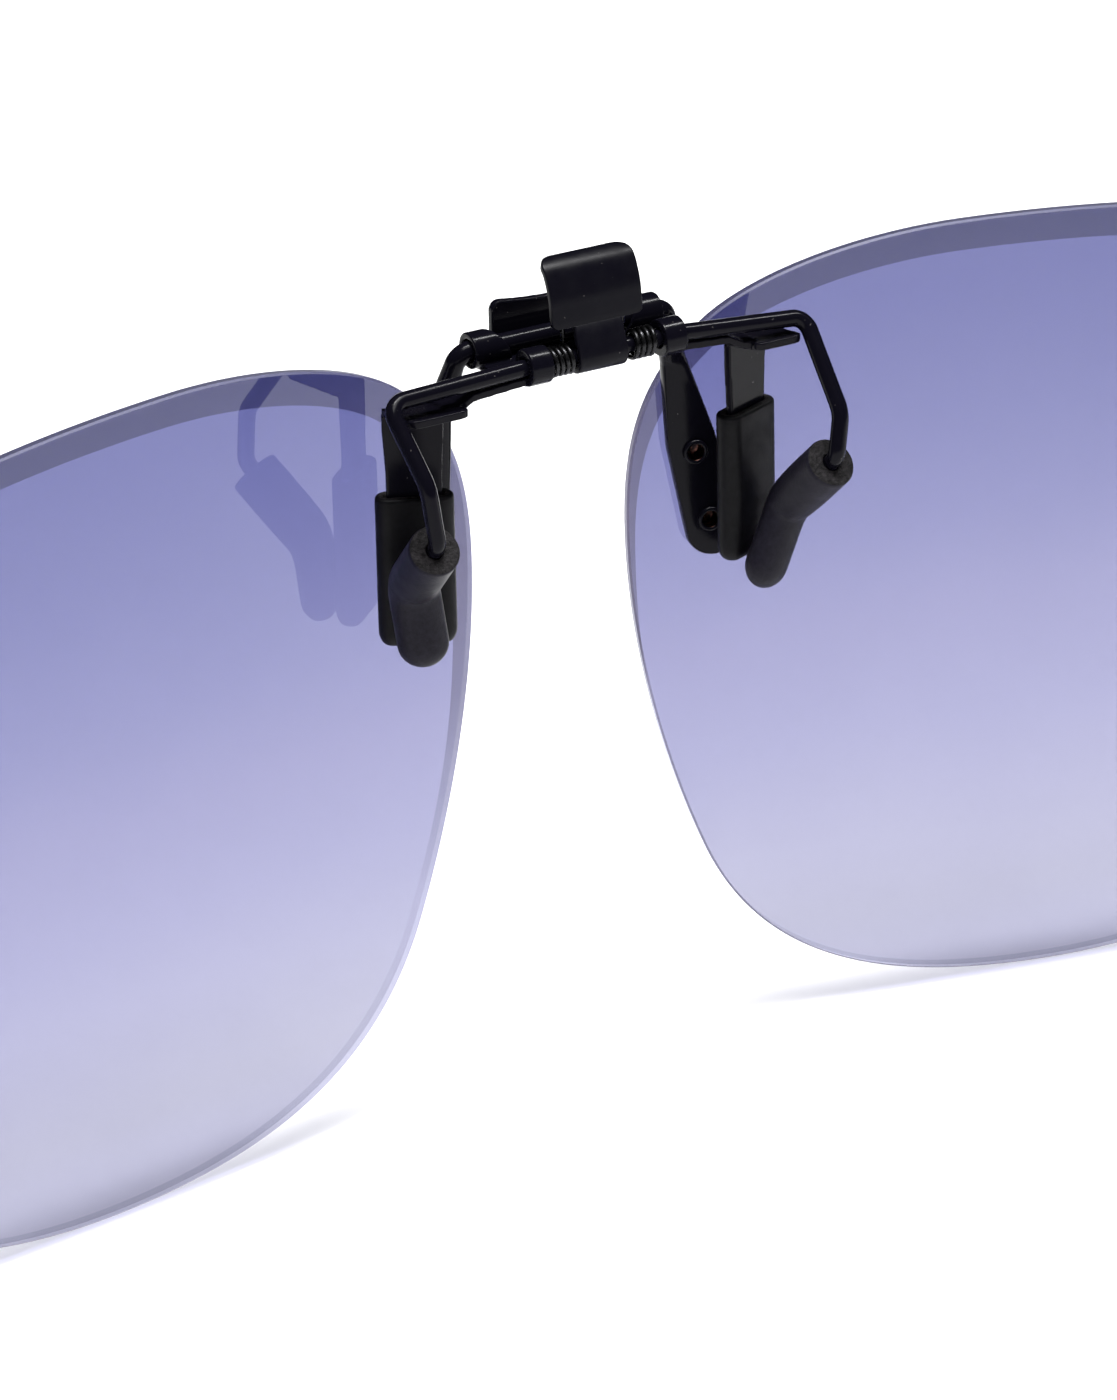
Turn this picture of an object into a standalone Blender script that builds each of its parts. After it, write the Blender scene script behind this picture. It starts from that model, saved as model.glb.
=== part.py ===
"""Flip-up clip-on sunglasses, at rest: lenses down, clip closed.

The numbers below are millimetres and degrees. +X is the wearer's right, +Y is forward, away from
the face, and +Z is up. The lenses' lowest points are at Z = 0. Depths are stated as distances
behind the lenses' back faces, taken at the centre plane X = 0.
"""

import math

import bmesh
import bpy
from mathutils import Matrix, Vector

MM = 0.001

# Lenses: flat sheets, each swept back by the wrap angle.
LENS_Y = 6.01
WRAP = math.radians(10.5)
LENS_THICKNESS = 1.0
LENS_HEIGHT = 48.9
NOSE_REACH, NOSE_HEIGHT = 5.26, 32.95
TOP_REACH = 26.5
BOTTOM_REACH = 32.8
TEMPLE_REACH, TEMPLE_HEIGHT = 65.0, 29.5
FACET_DROP, FACET_INSET, FACET_DEPTH = 2.1, 0.7, 0.45
FACET_FADE_LOW, FACET_FADE_HIGH = 12.0, 33.0

# Flip hinge: the lens bridge's rod turns in two rolled barrels.
FLIP_DEPTH, FLIP_HEIGHT = 3.3, 47.0
FLIP_OFFSET = -0.28
ROD_RADIUS, ROD_SHOULDER = 0.6, 6.8
BARREL_RADIUS, BARREL_BORE = 1.08, 0.7
BARREL_INNER, BARREL_OUTER, BARREL_SLANT = 4.4, 6.2, 0.45

# Paddles: the rod's ends, pressed flat against the lenses.
PADDLE_GAP, PADDLE_THICKNESS, PADDLE_HALF_WIDTH = 0.1, 0.9, 1.5
PADDLE_TOP, PADDLE_FULL, PADDLE_END = 43.15, 37.9, 30.7
PADDLE_TOP_REACH, PADDLE_END_REACH = 8.02, 10.5
PADDLE_NECK_HALF_WIDTH = 0.76

# Tubular rivets through paddle and lens.
RIVET_HEIGHTS = {"upper": 37.35, "lower": 33.0}
RIVET_SHANK, RIVET_HOLE, RIVET_BORE, RIVET_FLANGE, RIVET_HEAD = 0.55, 0.6, 0.4, 0.8, 0.85
WASHER_RADIUS, WASHER_THICKNESS = 1.05, 0.25
FIT_GAP = 0.05

# Clip hinge: the clip wire turns in two knuckles behind the flip hinge.
CLIP_DEPTH, CLIP_HEIGHT = 7.4, 47.0
WIRE_RADIUS = 0.5
KNUCKLE_RADIUS, KNUCKLE_BORE = 1.1, 0.56
KNUCKLE_INNER, KNUCKLE_OUTER = 3.7, 5.1

# Bracket: one bent sheet that holds both hinges and the two front legs.
SHEET = 0.48
PLATE_BOTTOM = 45.87
PLATE_HALF_WIDTH = 6.0
PLATE_BACK_DEPTH, PLATE_FRONT_DEPTH = 5.9, 2.7
FRONT_TAB_DEPTH = 1.85
FRONT_TAB_NECK, FRONT_TAB_HALF_WIDTH = 3.5, 4.3
FRONT_TAB_SHOULDER, FRONT_TAB_TOP, FRONT_TAB_CORNER, FRONT_TAB_DIP = 47.4, 49.2, 0.6, 0.4
ARM_BACK_DEPTH, ARM_FRONT_DEPTH = 7.5, 4.9
ARM_LEVEL_END, ARM_FALL = 8.4, 0.28
FLANGE_BOTTOM, FLANGE_BACK_DEPTH, FLANGE_FALL = 45.15, 8.25, 0.13
FLANGE_INNER, FLANGE_OUTER, FLANGE_CORNER = {1: 9.2, -1: 8.4}, 12.95, 0.6
LEG_REACH, LEG_DEPTH, LEG_TURN = 11.0, 4.8, math.radians(22.6)
LEG_TOP_WIDTH, LEG_WIDTH, LEG_TAPER_END, LEG_END = 3.5, 3.2, 41.0, 32.4

# Rubber sleeves on the legs.
SLEEVE_WIDTH, SLEEVE_THICKNESS = 4.55, 1.7
SLEEVE_TOP, SLEEVE_LENGTH = {1: 40.5, -1: 39.75}, 9.15
SLEEVE_CLEARANCE, SLEEVE_ROUNDING = 0.08, 0.9

# Clip wire route, right side, from the hinge axis to the rubber tip: (x, depth, z, bend radius).
WIRE_ROUTES = {
    1: (
        (5.5, 7.4, 47.0, 2.0),
        (13.5, 7.4, 46.3, 0.95),
        (13.59, 11.2, 41.57, 2.2),
        (12.97, 11.7, 39.14, 0.9),
        (12.55, 7.0, 34.81, 1.9),
        (11.32, 6.98, 31.9, 0.0),
    ),
    -1: (
        (5.5, 7.4, 47.0, 2.0),
        (13.89, 7.4, 46.66, 1.15),
        (13.33, 10.8, 42.66, 3.0),
        (13.07, 11.3, 39.27, 0.9),
        (12.43, 7.0, 35.32, 1.9),
        (11.97, 6.98, 32.2, 0.0),
    ),
}
TIP_RADIUS, TIP_BORE, TIP_BELOW_BEND, TIP_BEYOND_WIRE = 1.5, 0.56, 0.7, 0.65
TIP_PRESSED, TIP_PRESSED_FROM, TIP_PRESSED_BELOW = 0.75, 37.0, 33.5

# Thumb tab, pushed a little to one side by the longer spring.
THUMB_OFFSET = -0.35
THUMB_SHEET, THUMB_CURL = 0.42, 0.77
THUMB_NECK, THUMB_HALF_WIDTH = 1.57, 2.95
THUMB_SHOULDER, THUMB_CORNER = 1.9, 0.9

# Torsion springs, one on each side of the thumb tab.
SPRING_WIRE, SPRING_COIL = 0.14, 0.78
SPRING_TURNS = 4
LEFT_SPRING, RIGHT_SPRING = (-3.48, -2.15), (3.15, 1.75)

ROUND_SIDES = 14


def depth(value):
    """World Y of a point this far behind the lenses."""
    return LENS_Y - value


FLIP_AXIS = Vector((0, depth(FLIP_DEPTH), FLIP_HEIGHT))
CLIP_AXIS = Vector((0, depth(CLIP_DEPTH), CLIP_HEIGHT))


# ---- materials


def material(name, color, roughness, metallic=0.0, alpha=1.0):
    made = bpy.data.materials.new(name)
    made.use_nodes = True
    shader = made.node_tree.nodes["Principled BSDF"]
    shader.inputs["Base Color"].default_value = (*color, 1.0)
    shader.inputs["Roughness"].default_value = roughness
    shader.inputs["Metallic"].default_value = metallic
    shader.inputs["Alpha"].default_value = alpha
    made.diffuse_color = (*color, alpha)
    return made


def black_metal(name):
    return material(name, (0.012, 0.012, 0.015), 0.34, metallic=0.6)


def black_rubber(name):
    return material(name, (0.02, 0.02, 0.024), 0.75)


# ---- mesh helpers


def add_object(name, points, faces, own_material, pivot=None):
    """A mesh object from points in millimetres, with its origin at the pivot."""
    origin = pivot or Vector((0, 0, 0))
    mesh = bpy.data.meshes.new(name)
    mesh.from_pydata([(Vector(p) - origin) * MM for p in points], [], faces)
    shell = bmesh.new()
    shell.from_mesh(mesh)
    bmesh.ops.recalc_face_normals(shell, faces=shell.faces)
    shell.to_mesh(mesh)
    shell.free()
    if own_material:
        mesh.materials.append(own_material)
    obj = bpy.data.objects.new(name, mesh)
    obj.location = origin * MM
    bpy.context.scene.collection.objects.link(obj)
    return obj


def loft(rings, cyclic=False):
    """Points and faces of a skin over rings of equal length, capped at both ends unless cyclic."""
    count = len(rings[0])
    points = [p for ring in rings for p in ring]
    pairs = [(i, i + 1) for i in range(len(rings) - 1)]
    if cyclic:
        pairs.append((len(rings) - 1, 0))
    faces = []
    for low, high in pairs:
        for k in range(count):
            after = (k + 1) % count
            faces.append((low * count + k, low * count + after, high * count + after, high * count + k))
    if not cyclic:
        faces.append(tuple(reversed(range(count))))
        faces.append(tuple((len(rings) - 1) * count + k for k in range(count)))
    return points, faces


def extruded(outline, low, high):
    """A prism between two copies of an outline, each placed by a function of its two coordinates."""
    return loft([[low(*p) for p in outline], [high(*p) for p in outline]])


def mirrored(points, faces):
    return [(-p[0], p[1], p[2]) for p in points], [tuple(reversed(f)) for f in faces]


def on_side(side, points, faces):
    return (points, faces) if side > 0 else mirrored(points, faces)


def arc(centre, radius, start, end, steps):
    """Points on a circle in a plane, angles in degrees."""
    angles = [math.radians(start + (end - start) * k / steps) for k in range(steps + 1)]
    return [(centre[0] + radius * math.cos(a), centre[1] + radius * math.sin(a)) for a in angles]


def bezier(p0, p1, p2, p3, steps):
    """Points of a cubic curve, without its last one."""
    found = []
    for k in range(steps):
        t = k / steps
        a, b, c, d = (1 - t) ** 3, 3 * (1 - t) ** 2 * t, 3 * (1 - t) * t**2, t**3
        found.append(tuple(a * p0[i] + b * p1[i] + c * p2[i] + d * p3[i] for i in range(2)))
    return found


def rounded_path(corners, radii, steps=7):
    """A polyline with its inner corners turned into arcs."""
    corners = [Vector(c) for c in corners]
    path = [corners[0]]
    for before, corner, after, radius in zip(corners, corners[1:], corners[2:], radii[1:]):
        arriving, leaving = (corner - before).normalized(), (after - corner).normalized()
        turn = arriving.angle(leaving)
        start = corner - arriving * radius * math.tan(turn / 2)
        axis = arriving.cross(leaving).normalized()
        centre = start + axis.cross(arriving) * radius
        for k in range(steps + 1):
            path.append(centre + Matrix.Rotation(turn * k / steps, 3, axis) @ (start - centre))
    path.append(corners[-1])
    return path


def tangents(path):
    ends = [path[0]] + path + [path[-1]]
    return [(ends[i + 2] - ends[i]).normalized() for i in range(len(path))]


def frames(path):
    """A pair of cross axes at each point, carried along the path without twist."""
    directions = tangents(path)
    side = directions[0].orthogonal().normalized()
    found = []
    for direction in directions:
        side = (side - direction * side.dot(direction)).normalized()
        found.append((side, direction.cross(side)))
    return found


def ring(centre, across, along, radius, sides=ROUND_SIDES):
    angles = [2 * math.pi * k / sides for k in range(sides)]
    return [centre + (across * math.cos(a) + along * math.sin(a)) * radius for a in angles]


def swept(path, radius, sides=ROUND_SIDES):
    return loft([ring(p, u, v, radius, sides) for p, (u, v) in zip(path, frames(path))])


def turned(profile, centre, axis, sides=ROUND_SIDES, cyclic=False):
    """A turned shape: profile is (radius, distance along the axis)."""
    across = axis.orthogonal().normalized()
    along = axis.cross(across)
    return loft([ring(centre + axis * t, across, along, r, sides) for r, t in profile], cyclic)


def round_shading(obj, degrees=35):
    obj.data.shade_smooth()
    obj.data.set_sharp_from_angle(angle=math.radians(degrees))
    return obj


def combined(obj, helper, operation):
    """Bakes one Boolean into the object and removes the helper."""
    modifier = obj.modifiers.new("combine", "BOOLEAN")
    modifier.operation = operation
    modifier.solver = "EXACT"
    modifier.object = helper
    graph = bpy.context.evaluated_depsgraph_get()
    baked = bpy.data.meshes.new_from_object(obj.evaluated_get(graph))
    obj.modifiers.clear()
    obj.data = baked
    bpy.data.objects.remove(helper)
    return obj


def joined(name, shapes, own_material):
    """One body from overlapping shapes."""
    obj = add_object(name, *shapes[0], own_material)
    for points, faces in shapes[1:]:
        combined(obj, add_object("helper", points, faces, own_material), "UNION")
    return obj


def drilled(obj, shapes):
    for points, faces in shapes:
        combined(obj, add_object("cutter", points, faces, None), "DIFFERENCE")
    return obj


# ---- lenses


def on_lens(reach, height, outward):
    """A point on the right lens: reach along the sheet, height, and distance in front of its back face."""
    return Vector(
        (
            reach * math.cos(WRAP) + outward * math.sin(WRAP),
            LENS_Y - reach * math.sin(WRAP) + outward * math.cos(WRAP),
            height,
        )
    )


LENS_NORMAL = Vector((math.sin(WRAP), math.cos(WRAP), 0))


def lens_outline():
    """The lens shape as four soft quadrants: nose to top, top to temple, temple to bottom, back to nose."""
    nose, temple = (NOSE_REACH, NOSE_HEIGHT), (TEMPLE_REACH, TEMPLE_HEIGHT)
    top, bottom = (TOP_REACH, LENS_HEIGHT), (BOTTOM_REACH, 0.0)
    brow, cheek = (10.16, 44.85), (9.84, 11.5)
    corner, jowl = (60.3, 42.3), (57.6, 9.6)
    return (
        bezier(nose, (NOSE_REACH, 38.7), (6.7, 42.0), brow, 10)
        + bezier(brow, (13.2, 47.3), (19.8, LENS_HEIGHT), top, 12)
        + bezier(top, (37.0, LENS_HEIGHT), (51.5, 47.6), corner, 16)
        + bezier(corner, (63.6, 39.2), (TEMPLE_REACH, 34.5), temple, 10)
        + bezier(temple, (TEMPLE_REACH, 21.5), (62.6, 14.8), jowl, 10)
        + bezier(jowl, (52.0, 3.7), (43.8, 0.0), bottom, 14)
        + bezier(bottom, (21.9, 0.0), (13.5, 2.7), cheek, 14)
        + bezier(cheek, (7.97, 16.0), (NOSE_REACH, 24.2), nose, 12)
    )


def facet_edge(reach, height):
    """Where the front facet meets the front face: lower and further in than the lens edge."""
    share = (height - FACET_FADE_LOW) / (FACET_FADE_HIGH - FACET_FADE_LOW)
    share = max(0.0, min(1.0, share))
    share = share * share * (3 - 2 * share)
    inward = (TOP_REACH - reach) / (TOP_REACH - NOSE_REACH)
    return reach + share * FACET_INSET * max(-1.0, min(1.0, inward)), height - share * FACET_DROP


def rivet_reach(height):
    """The paddle's centre line."""
    share = (PADDLE_TOP - height) / (PADDLE_TOP - PADDLE_END)
    return PADDLE_TOP_REACH + share * (PADDLE_END_REACH - PADDLE_TOP_REACH)


def rivet_centre(height):
    return on_lens(rivet_reach(height), height, 0.0)


def rivet_holes(side):
    low, high = -PADDLE_GAP - PADDLE_THICKNESS - 1.0, LENS_THICKNESS + 1.0
    profile = ((RIVET_HOLE, low), (RIVET_HOLE, high))
    return [
        on_side(side, *turned(profile, rivet_centre(height), LENS_NORMAL))
        for height in RIVET_HEIGHTS.values()
    ]


def build_lens(name, side):
    outline = lens_outline()
    back = [on_lens(s, z, 0.0) for s, z in outline]
    edge = [on_lens(s, z, LENS_THICKNESS - FACET_DEPTH) for s, z in outline]
    front = [on_lens(*facet_edge(s, z), LENS_THICKNESS) for s, z in outline]
    shape = on_side(side, *loft([front, edge, back]))
    tint = material(name, (0.45, 0.45, 0.72), 0.05, alpha=0.5)
    lens = add_object(name, *shape, tint, FLIP_AXIS)
    return drilled(lens, rivet_holes(side))


# ---- lens bridge


def blend(value, low, high):
    share = max(0.0, min(1.0, (value - low) / (high - low)))
    return share * share * (3 - 2 * share)


def flat_ring(centre, across, along, half_width, half_thickness, squareness):
    """A cross-section between an ellipse (squareness 2) and a rounded bar."""
    found = []
    for k in range(ROUND_SIDES + 2):
        angle = 2 * math.pi * k / (ROUND_SIDES + 2)
        c, s = math.cos(angle), math.sin(angle)
        u = math.copysign(abs(c) ** (2 / squareness), c) * half_width
        v = math.copysign(abs(s) ** (2 / squareness), s) * half_thickness
        found.append(centre + across * u + along * v)
    return found


def paddle_half_width(height):
    """Rod, then a short neck, then an even taper out to the full paddle."""
    neck = blend(-height, -PADDLE_TOP - 2.0, -PADDLE_TOP) * (PADDLE_NECK_HALF_WIDTH - ROD_RADIUS)
    share = max(0.0, min(1.0, (PADDLE_TOP - height) / (PADDLE_TOP - PADDLE_FULL)))
    return ROD_RADIUS + neck + share * (PADDLE_HALF_WIDTH - PADDLE_NECK_HALF_WIDTH)


def flip_reach(side, value):
    """Distance from the centre plane of a flip hinge feature, whose middle is a little off centre."""
    return value + side * FLIP_OFFSET


def bridge_path(side):
    middle = -PADDLE_GAP - PADDLE_THICKNESS / 2
    top = on_lens(PADDLE_TOP_REACH, PADDLE_TOP, middle)
    end = on_lens(PADDLE_END_REACH, PADDLE_END, middle)
    shoulder = Vector((flip_reach(side, ROD_SHOULDER), FLIP_AXIS.y, FLIP_HEIGHT))
    path = rounded_path((FLIP_AXIS, shoulder, top, end), (0, 1.0, 2.5))
    start, steps = path[-2], 16
    straight = [start.lerp(end, (k + 1) / steps) for k in range(steps)]
    return path[:-1] + straight


def bridge_rings(side):
    """Cross-sections of one half, as if on the right, from the centre plane to the paddle's round end."""
    path = bridge_path(side)
    found = []
    for centre, direction in zip(path, tangents(path)):
        along = Vector((0, -1, 0)).lerp(-LENS_NORMAL, blend(-centre.z, -PADDLE_TOP - 1, -PADDLE_TOP))
        along = (along - direction * along.dot(direction)).normalized()
        flatness = blend(-centre.z, -PADDLE_TOP - 2.2, -PADDLE_FULL)
        half_width = paddle_half_width(centre.z)
        to_end = (centre - path[-1]).length
        if to_end < PADDLE_HALF_WIDTH:
            half_width = math.sqrt(max(0.05, PADDLE_HALF_WIDTH**2 - (PADDLE_HALF_WIDTH - to_end) ** 2))
        half_thickness = ROD_RADIUS + (PADDLE_THICKNESS / 2 - ROD_RADIUS) * flatness
        found.append(
            flat_ring(centre, along.cross(direction), along, half_width, half_thickness, 2 + 4 * flatness)
        )
    return found


def build_bridge():
    right = bridge_rings(1)
    left = [[Vector((-p.x, p.y, p.z)) for p in section] for section in reversed(bridge_rings(-1)[1:])]
    bridge = add_object("lens_bridge", *loft(left + right), black_metal("lens_bridge"), FLIP_AXIS)
    return drilled(round_shading(bridge), rivet_holes(-1) + rivet_holes(1))


# ---- rivets and washers


def build_rivet(name, side, height):
    """A tubular rivet: hollow rolled flange behind the paddle, round head in front of the washer."""
    flange_face = -PADDLE_GAP - PADDLE_THICKNESS - FIT_GAP
    head_face = LENS_THICKNESS + WASHER_THICKNESS + 2 * FIT_GAP
    profile = (
        (RIVET_BORE, flange_face + 0.7),
        (RIVET_BORE, flange_face - 0.14),
        (RIVET_BORE + 0.1, flange_face - 0.22),
        (RIVET_FLANGE - 0.08, flange_face - 0.2),
        (RIVET_FLANGE, flange_face),
        (RIVET_SHANK, flange_face),
        (RIVET_SHANK, head_face),
        (RIVET_HEAD, head_face),
        (RIVET_HEAD * 0.92, head_face + 0.2),
        (RIVET_HEAD * 0.6, head_face + 0.36),
        (RIVET_HEAD * 0.2, head_face + 0.42),
    )
    shape = on_side(side, *turned(profile, rivet_centre(height), LENS_NORMAL))
    copper = material(name, (0.06, 0.035, 0.03), 0.35, metallic=1.0)
    return round_shading(add_object(name, *shape, copper, FLIP_AXIS))


def build_washer(name, side, height):
    low = LENS_THICKNESS + FIT_GAP
    high = low + WASHER_THICKNESS
    profile = ((RIVET_HOLE, low), (RIVET_HOLE, high), (WASHER_RADIUS, high), (WASHER_RADIUS, low))
    shape = on_side(side, *turned(profile[::-1], rivet_centre(height), LENS_NORMAL, cyclic=True))
    nylon = material(name, (0.02, 0.02, 0.022), 0.5)
    return round_shading(add_object(name, *shape, nylon, FLIP_AXIS))


# ---- bracket


def box(x, y, z):
    """A box from three (low, high) pairs."""
    outline = ((x[0], y[0]), (x[1], y[0]), (x[1], y[1]), (x[0], y[1]))
    return extruded(outline, lambda a, b: Vector((a, b, z[0])), lambda a, b: Vector((a, b, z[1])))


def round_bar(axis_point, radius, inner, outer):
    profile = ((radius, inner), (radius, outer))
    return turned(profile, axis_point, Vector((1, 0, 0)), 2 * ROUND_SIDES)


def barrel_shape(side):
    """A barrel before its bore: square outer end, and an inner end cut on the slant."""
    outer = flip_reach(side, BARREL_OUTER)
    axes = Vector((0, 1, 0)), Vector((0, 0, 1))
    inner_ring = []
    for p in ring(FLIP_AXIS, *axes, BARREL_RADIUS, 2 * ROUND_SIDES):
        lean = (p.y - FLIP_AXIS.y + p.z - FLIP_AXIS.z) / BARREL_RADIUS
        inner_ring.append(p + Vector((flip_reach(side, BARREL_INNER) + BARREL_SLANT * lean, 0, 0)))
    outer_ring = ring(FLIP_AXIS + Vector((outer, 0, 0)), *axes, BARREL_RADIUS, 2 * ROUND_SIDES)
    return loft([inner_ring, outer_ring])


def plate_shapes():
    """The middle plate and the front tab that stands on its front edge."""
    top = PLATE_BOTTOM + SHEET
    plate = box(
        (-PLATE_HALF_WIDTH, PLATE_HALF_WIDTH),
        (depth(PLATE_BACK_DEPTH), depth(PLATE_FRONT_DEPTH)),
        (PLATE_BOTTOM, top),
    )
    tab_front, tab_back = depth(FRONT_TAB_DEPTH), depth(FRONT_TAB_DEPTH + SHEET)
    lip = box(
        (-FRONT_TAB_NECK, FRONT_TAB_NECK),
        (depth(PLATE_FRONT_DEPTH) - SHEET, tab_front),
        (PLATE_BOTTOM, top),
    )
    wide, round_at = FRONT_TAB_HALF_WIDTH, FRONT_TAB_TOP - FRONT_TAB_CORNER
    outline = [(FRONT_TAB_NECK, PLATE_BOTTOM), (FRONT_TAB_NECK, FRONT_TAB_SHOULDER)]
    outline += [(wide, FRONT_TAB_SHOULDER)]
    outline += arc((wide - FRONT_TAB_CORNER, round_at), FRONT_TAB_CORNER, 0, 90, 5)
    outline += [(x, FRONT_TAB_TOP - FRONT_TAB_DIP * (1 - (x / 3.7) ** 2)) for x in (3.0, 2.0, 1.0)]
    outline += [(-x, z) for x, z in reversed(outline)]
    tab = extruded(outline, lambda x, z: Vector((x, tab_front, z)), lambda x, z: Vector((x, tab_back, z)))
    return [plate, lip, tab]


def arm_shape():
    """The strip under the clip wire, seen from the front, from the knuckle down to the flange."""
    knee = PLATE_BOTTOM + 0.1
    under = (
        (KNUCKLE_INNER + 0.9, knee),
        (ARM_LEVEL_END, knee - ARM_FALL),
        (ARM_LEVEL_END + 1.0, FLANGE_BOTTOM),
        (ARM_LEVEL_END + 1.8, FLANGE_BOTTOM),
    )
    outline = under + tuple((x, z + SHEET) for x, z in reversed(under))
    near, far = depth(ARM_BACK_DEPTH), depth(ARM_FRONT_DEPTH)
    return extruded(outline, lambda x, z: Vector((x, far, z)), lambda x, z: Vector((x, near, z)))


def leg_point(along, outward, height):
    """A point on the right leg: along its width, in front of its middle, and height."""
    c, s = math.cos(LEG_TURN), math.sin(LEG_TURN)
    return Vector((LEG_REACH + along * c - outward * s, depth(LEG_DEPTH) + along * s + outward * c, height))


def flange_bottom(y):
    """The flange falls away gently towards the front."""
    return FLANGE_BOTTOM - FLANGE_FALL * (y - depth(FLANGE_BACK_DEPTH))


def flange_shape(side):
    """The level end of the arm, seen from above: round behind, slanted in front where the leg folds down."""
    near = depth(FLANGE_BACK_DEPTH)
    r = FLANGE_CORNER
    outline = arc((FLANGE_INNER[side] + 2 * r, near + r), r, 180, 270, 4)
    outline += arc((FLANGE_OUTER - r, near + r), r, 270, 360, 4)
    inner, outer = leg_point(-LEG_TOP_WIDTH / 2, 0, 0), leg_point(LEG_TOP_WIDTH / 2, 0, 0)
    outline += [(outer.x, outer.y), (inner.x, inner.y), (inner.x, near + 3 * r)]
    return extruded(
        outline,
        lambda x, y: Vector((x, y, flange_bottom(y))),
        lambda x, y: Vector((x, y, flange_bottom(y) + SHEET)),
    )


def leg_shape():
    wide, narrow = LEG_TOP_WIDTH / 2, LEG_WIDTH / 2
    top = flange_bottom(depth(LEG_DEPTH)) + SHEET
    outline = [(wide - 0.5, top), (-wide + 0.5, top), (-wide, top - 0.5), (-wide, top - 1.5)]
    outline += [(-narrow, LEG_TAPER_END)]
    outline += [(x, z + LEG_END) for x, z in arc((0, narrow), narrow, 180, 360, 8)]
    outline += [(narrow, LEG_TAPER_END), (wide, top - 1.5), (wide, top - 0.5)]
    half = SHEET / 2
    return extruded(outline, lambda a, z: leg_point(a, half, z), lambda a, z: leg_point(a, -half, z))


def side_shapes(side):
    """One side's barrel, knuckle, lug, arm, flange and leg."""
    knuckle = round_bar(CLIP_AXIS, KNUCKLE_RADIUS, KNUCKLE_INNER, KNUCKLE_OUTER)
    lug = box(
        (KNUCKLE_INNER, KNUCKLE_OUTER),
        (CLIP_AXIS.y, depth(PLATE_BACK_DEPTH) + SHEET),
        (PLATE_BOTTOM + 0.03, PLATE_BOTTOM + SHEET - 0.03),
    )
    shapes = (barrel_shape(side), knuckle, lug, arm_shape(), flange_shape(side), leg_shape())
    return [on_side(side, *shape) for shape in shapes]


def build_bracket():
    shapes = plate_shapes() + side_shapes(-1) + side_shapes(1)
    bracket = joined("hinge_bracket", shapes, black_metal("hinge_bracket"))
    bores = []
    for side in (-1, 1):
        for axis_point, radius in ((FLIP_AXIS, BARREL_BORE), (CLIP_AXIS, KNUCKLE_BORE)):
            bores.append(on_side(side, *round_bar(axis_point, radius, FRONT_TAB_NECK + 0.05, 8.0)))
    return round_shading(drilled(bracket, bores))


# ---- rubber parts


def leg_section(height, half_width, half_thickness):
    """A stadium-shaped ring around the leg."""
    found = []
    flat = half_width - half_thickness
    steps = 6
    for centre, start in ((flat, -90), (-flat, 90)):
        for a, b in arc((centre, 0), half_thickness, start, start + 180, steps):
            found.append(leg_point(a, b, height))
    return found


def build_sleeve(name, side):
    """A flat rubber tube on the leg, closed and rounded at its lower end."""
    wide, thick = SLEEVE_WIDTH / 2, SLEEVE_THICKNESS / 2
    top, bottom = SLEEVE_TOP[side], SLEEVE_TOP[side] - SLEEVE_LENGTH
    hole_wide, hole_thick = LEG_WIDTH / 2 + 2 * SLEEVE_CLEARANCE, SHEET / 2 + SLEEVE_CLEARANCE
    hole_bottom = LEG_END - 2 * SLEEVE_CLEARANCE
    rings = [leg_section(z, hole_wide, hole_thick) for z in (hole_bottom, top)]
    rings.append(leg_section(top, wide - 0.15, thick - 0.15))
    rings.append(leg_section(top - 0.15, wide, thick))
    for k in range(5):
        angle = math.radians(20 * k)
        shrink = (1 - math.cos(angle)) * 0.6 * thick
        z = bottom + SLEEVE_ROUNDING * (1 - math.sin(angle))
        rings.append(leg_section(z, wide - shrink, thick - shrink))
    shape = on_side(side, *loft(rings))
    return round_shading(add_object(name, *shape, black_rubber(name)), 50)


def wire_corners(side):
    """One half of the wire's route, as if on the right, and the bend radius at each corner."""
    corners = [Vector((x, depth(behind), z)) for x, behind, z, _ in WIRE_ROUTES[side]]
    return corners, [radius for *_, radius in WIRE_ROUTES[side]]


def tip_path(side):
    """The middle line of a rubber tip, as if on the right, from its open end down."""
    corners, radii = wire_corners(side)
    bend, kink, foot = corners[-3:]
    open_end = bend + (kink - bend).normalized() * TIP_BELOW_BEND
    foot = foot + (foot - kink).normalized() * TIP_BEYOND_WIRE
    return rounded_path((open_end, kink, foot), (0, radii[-2])), corners[-1]


def pressed(section, centre):
    """A tip's ring, flattened where it bears on the sleeve."""
    keep = 1 - (1 - TIP_PRESSED) * blend(-centre.z, -TIP_PRESSED_FROM, -TIP_PRESSED_BELOW)
    facing = leg_point(0, 1, 0) - leg_point(0, 0, 0)
    return [p - facing * (p - centre).dot(facing) * (1 - keep) for p in section]


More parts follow.
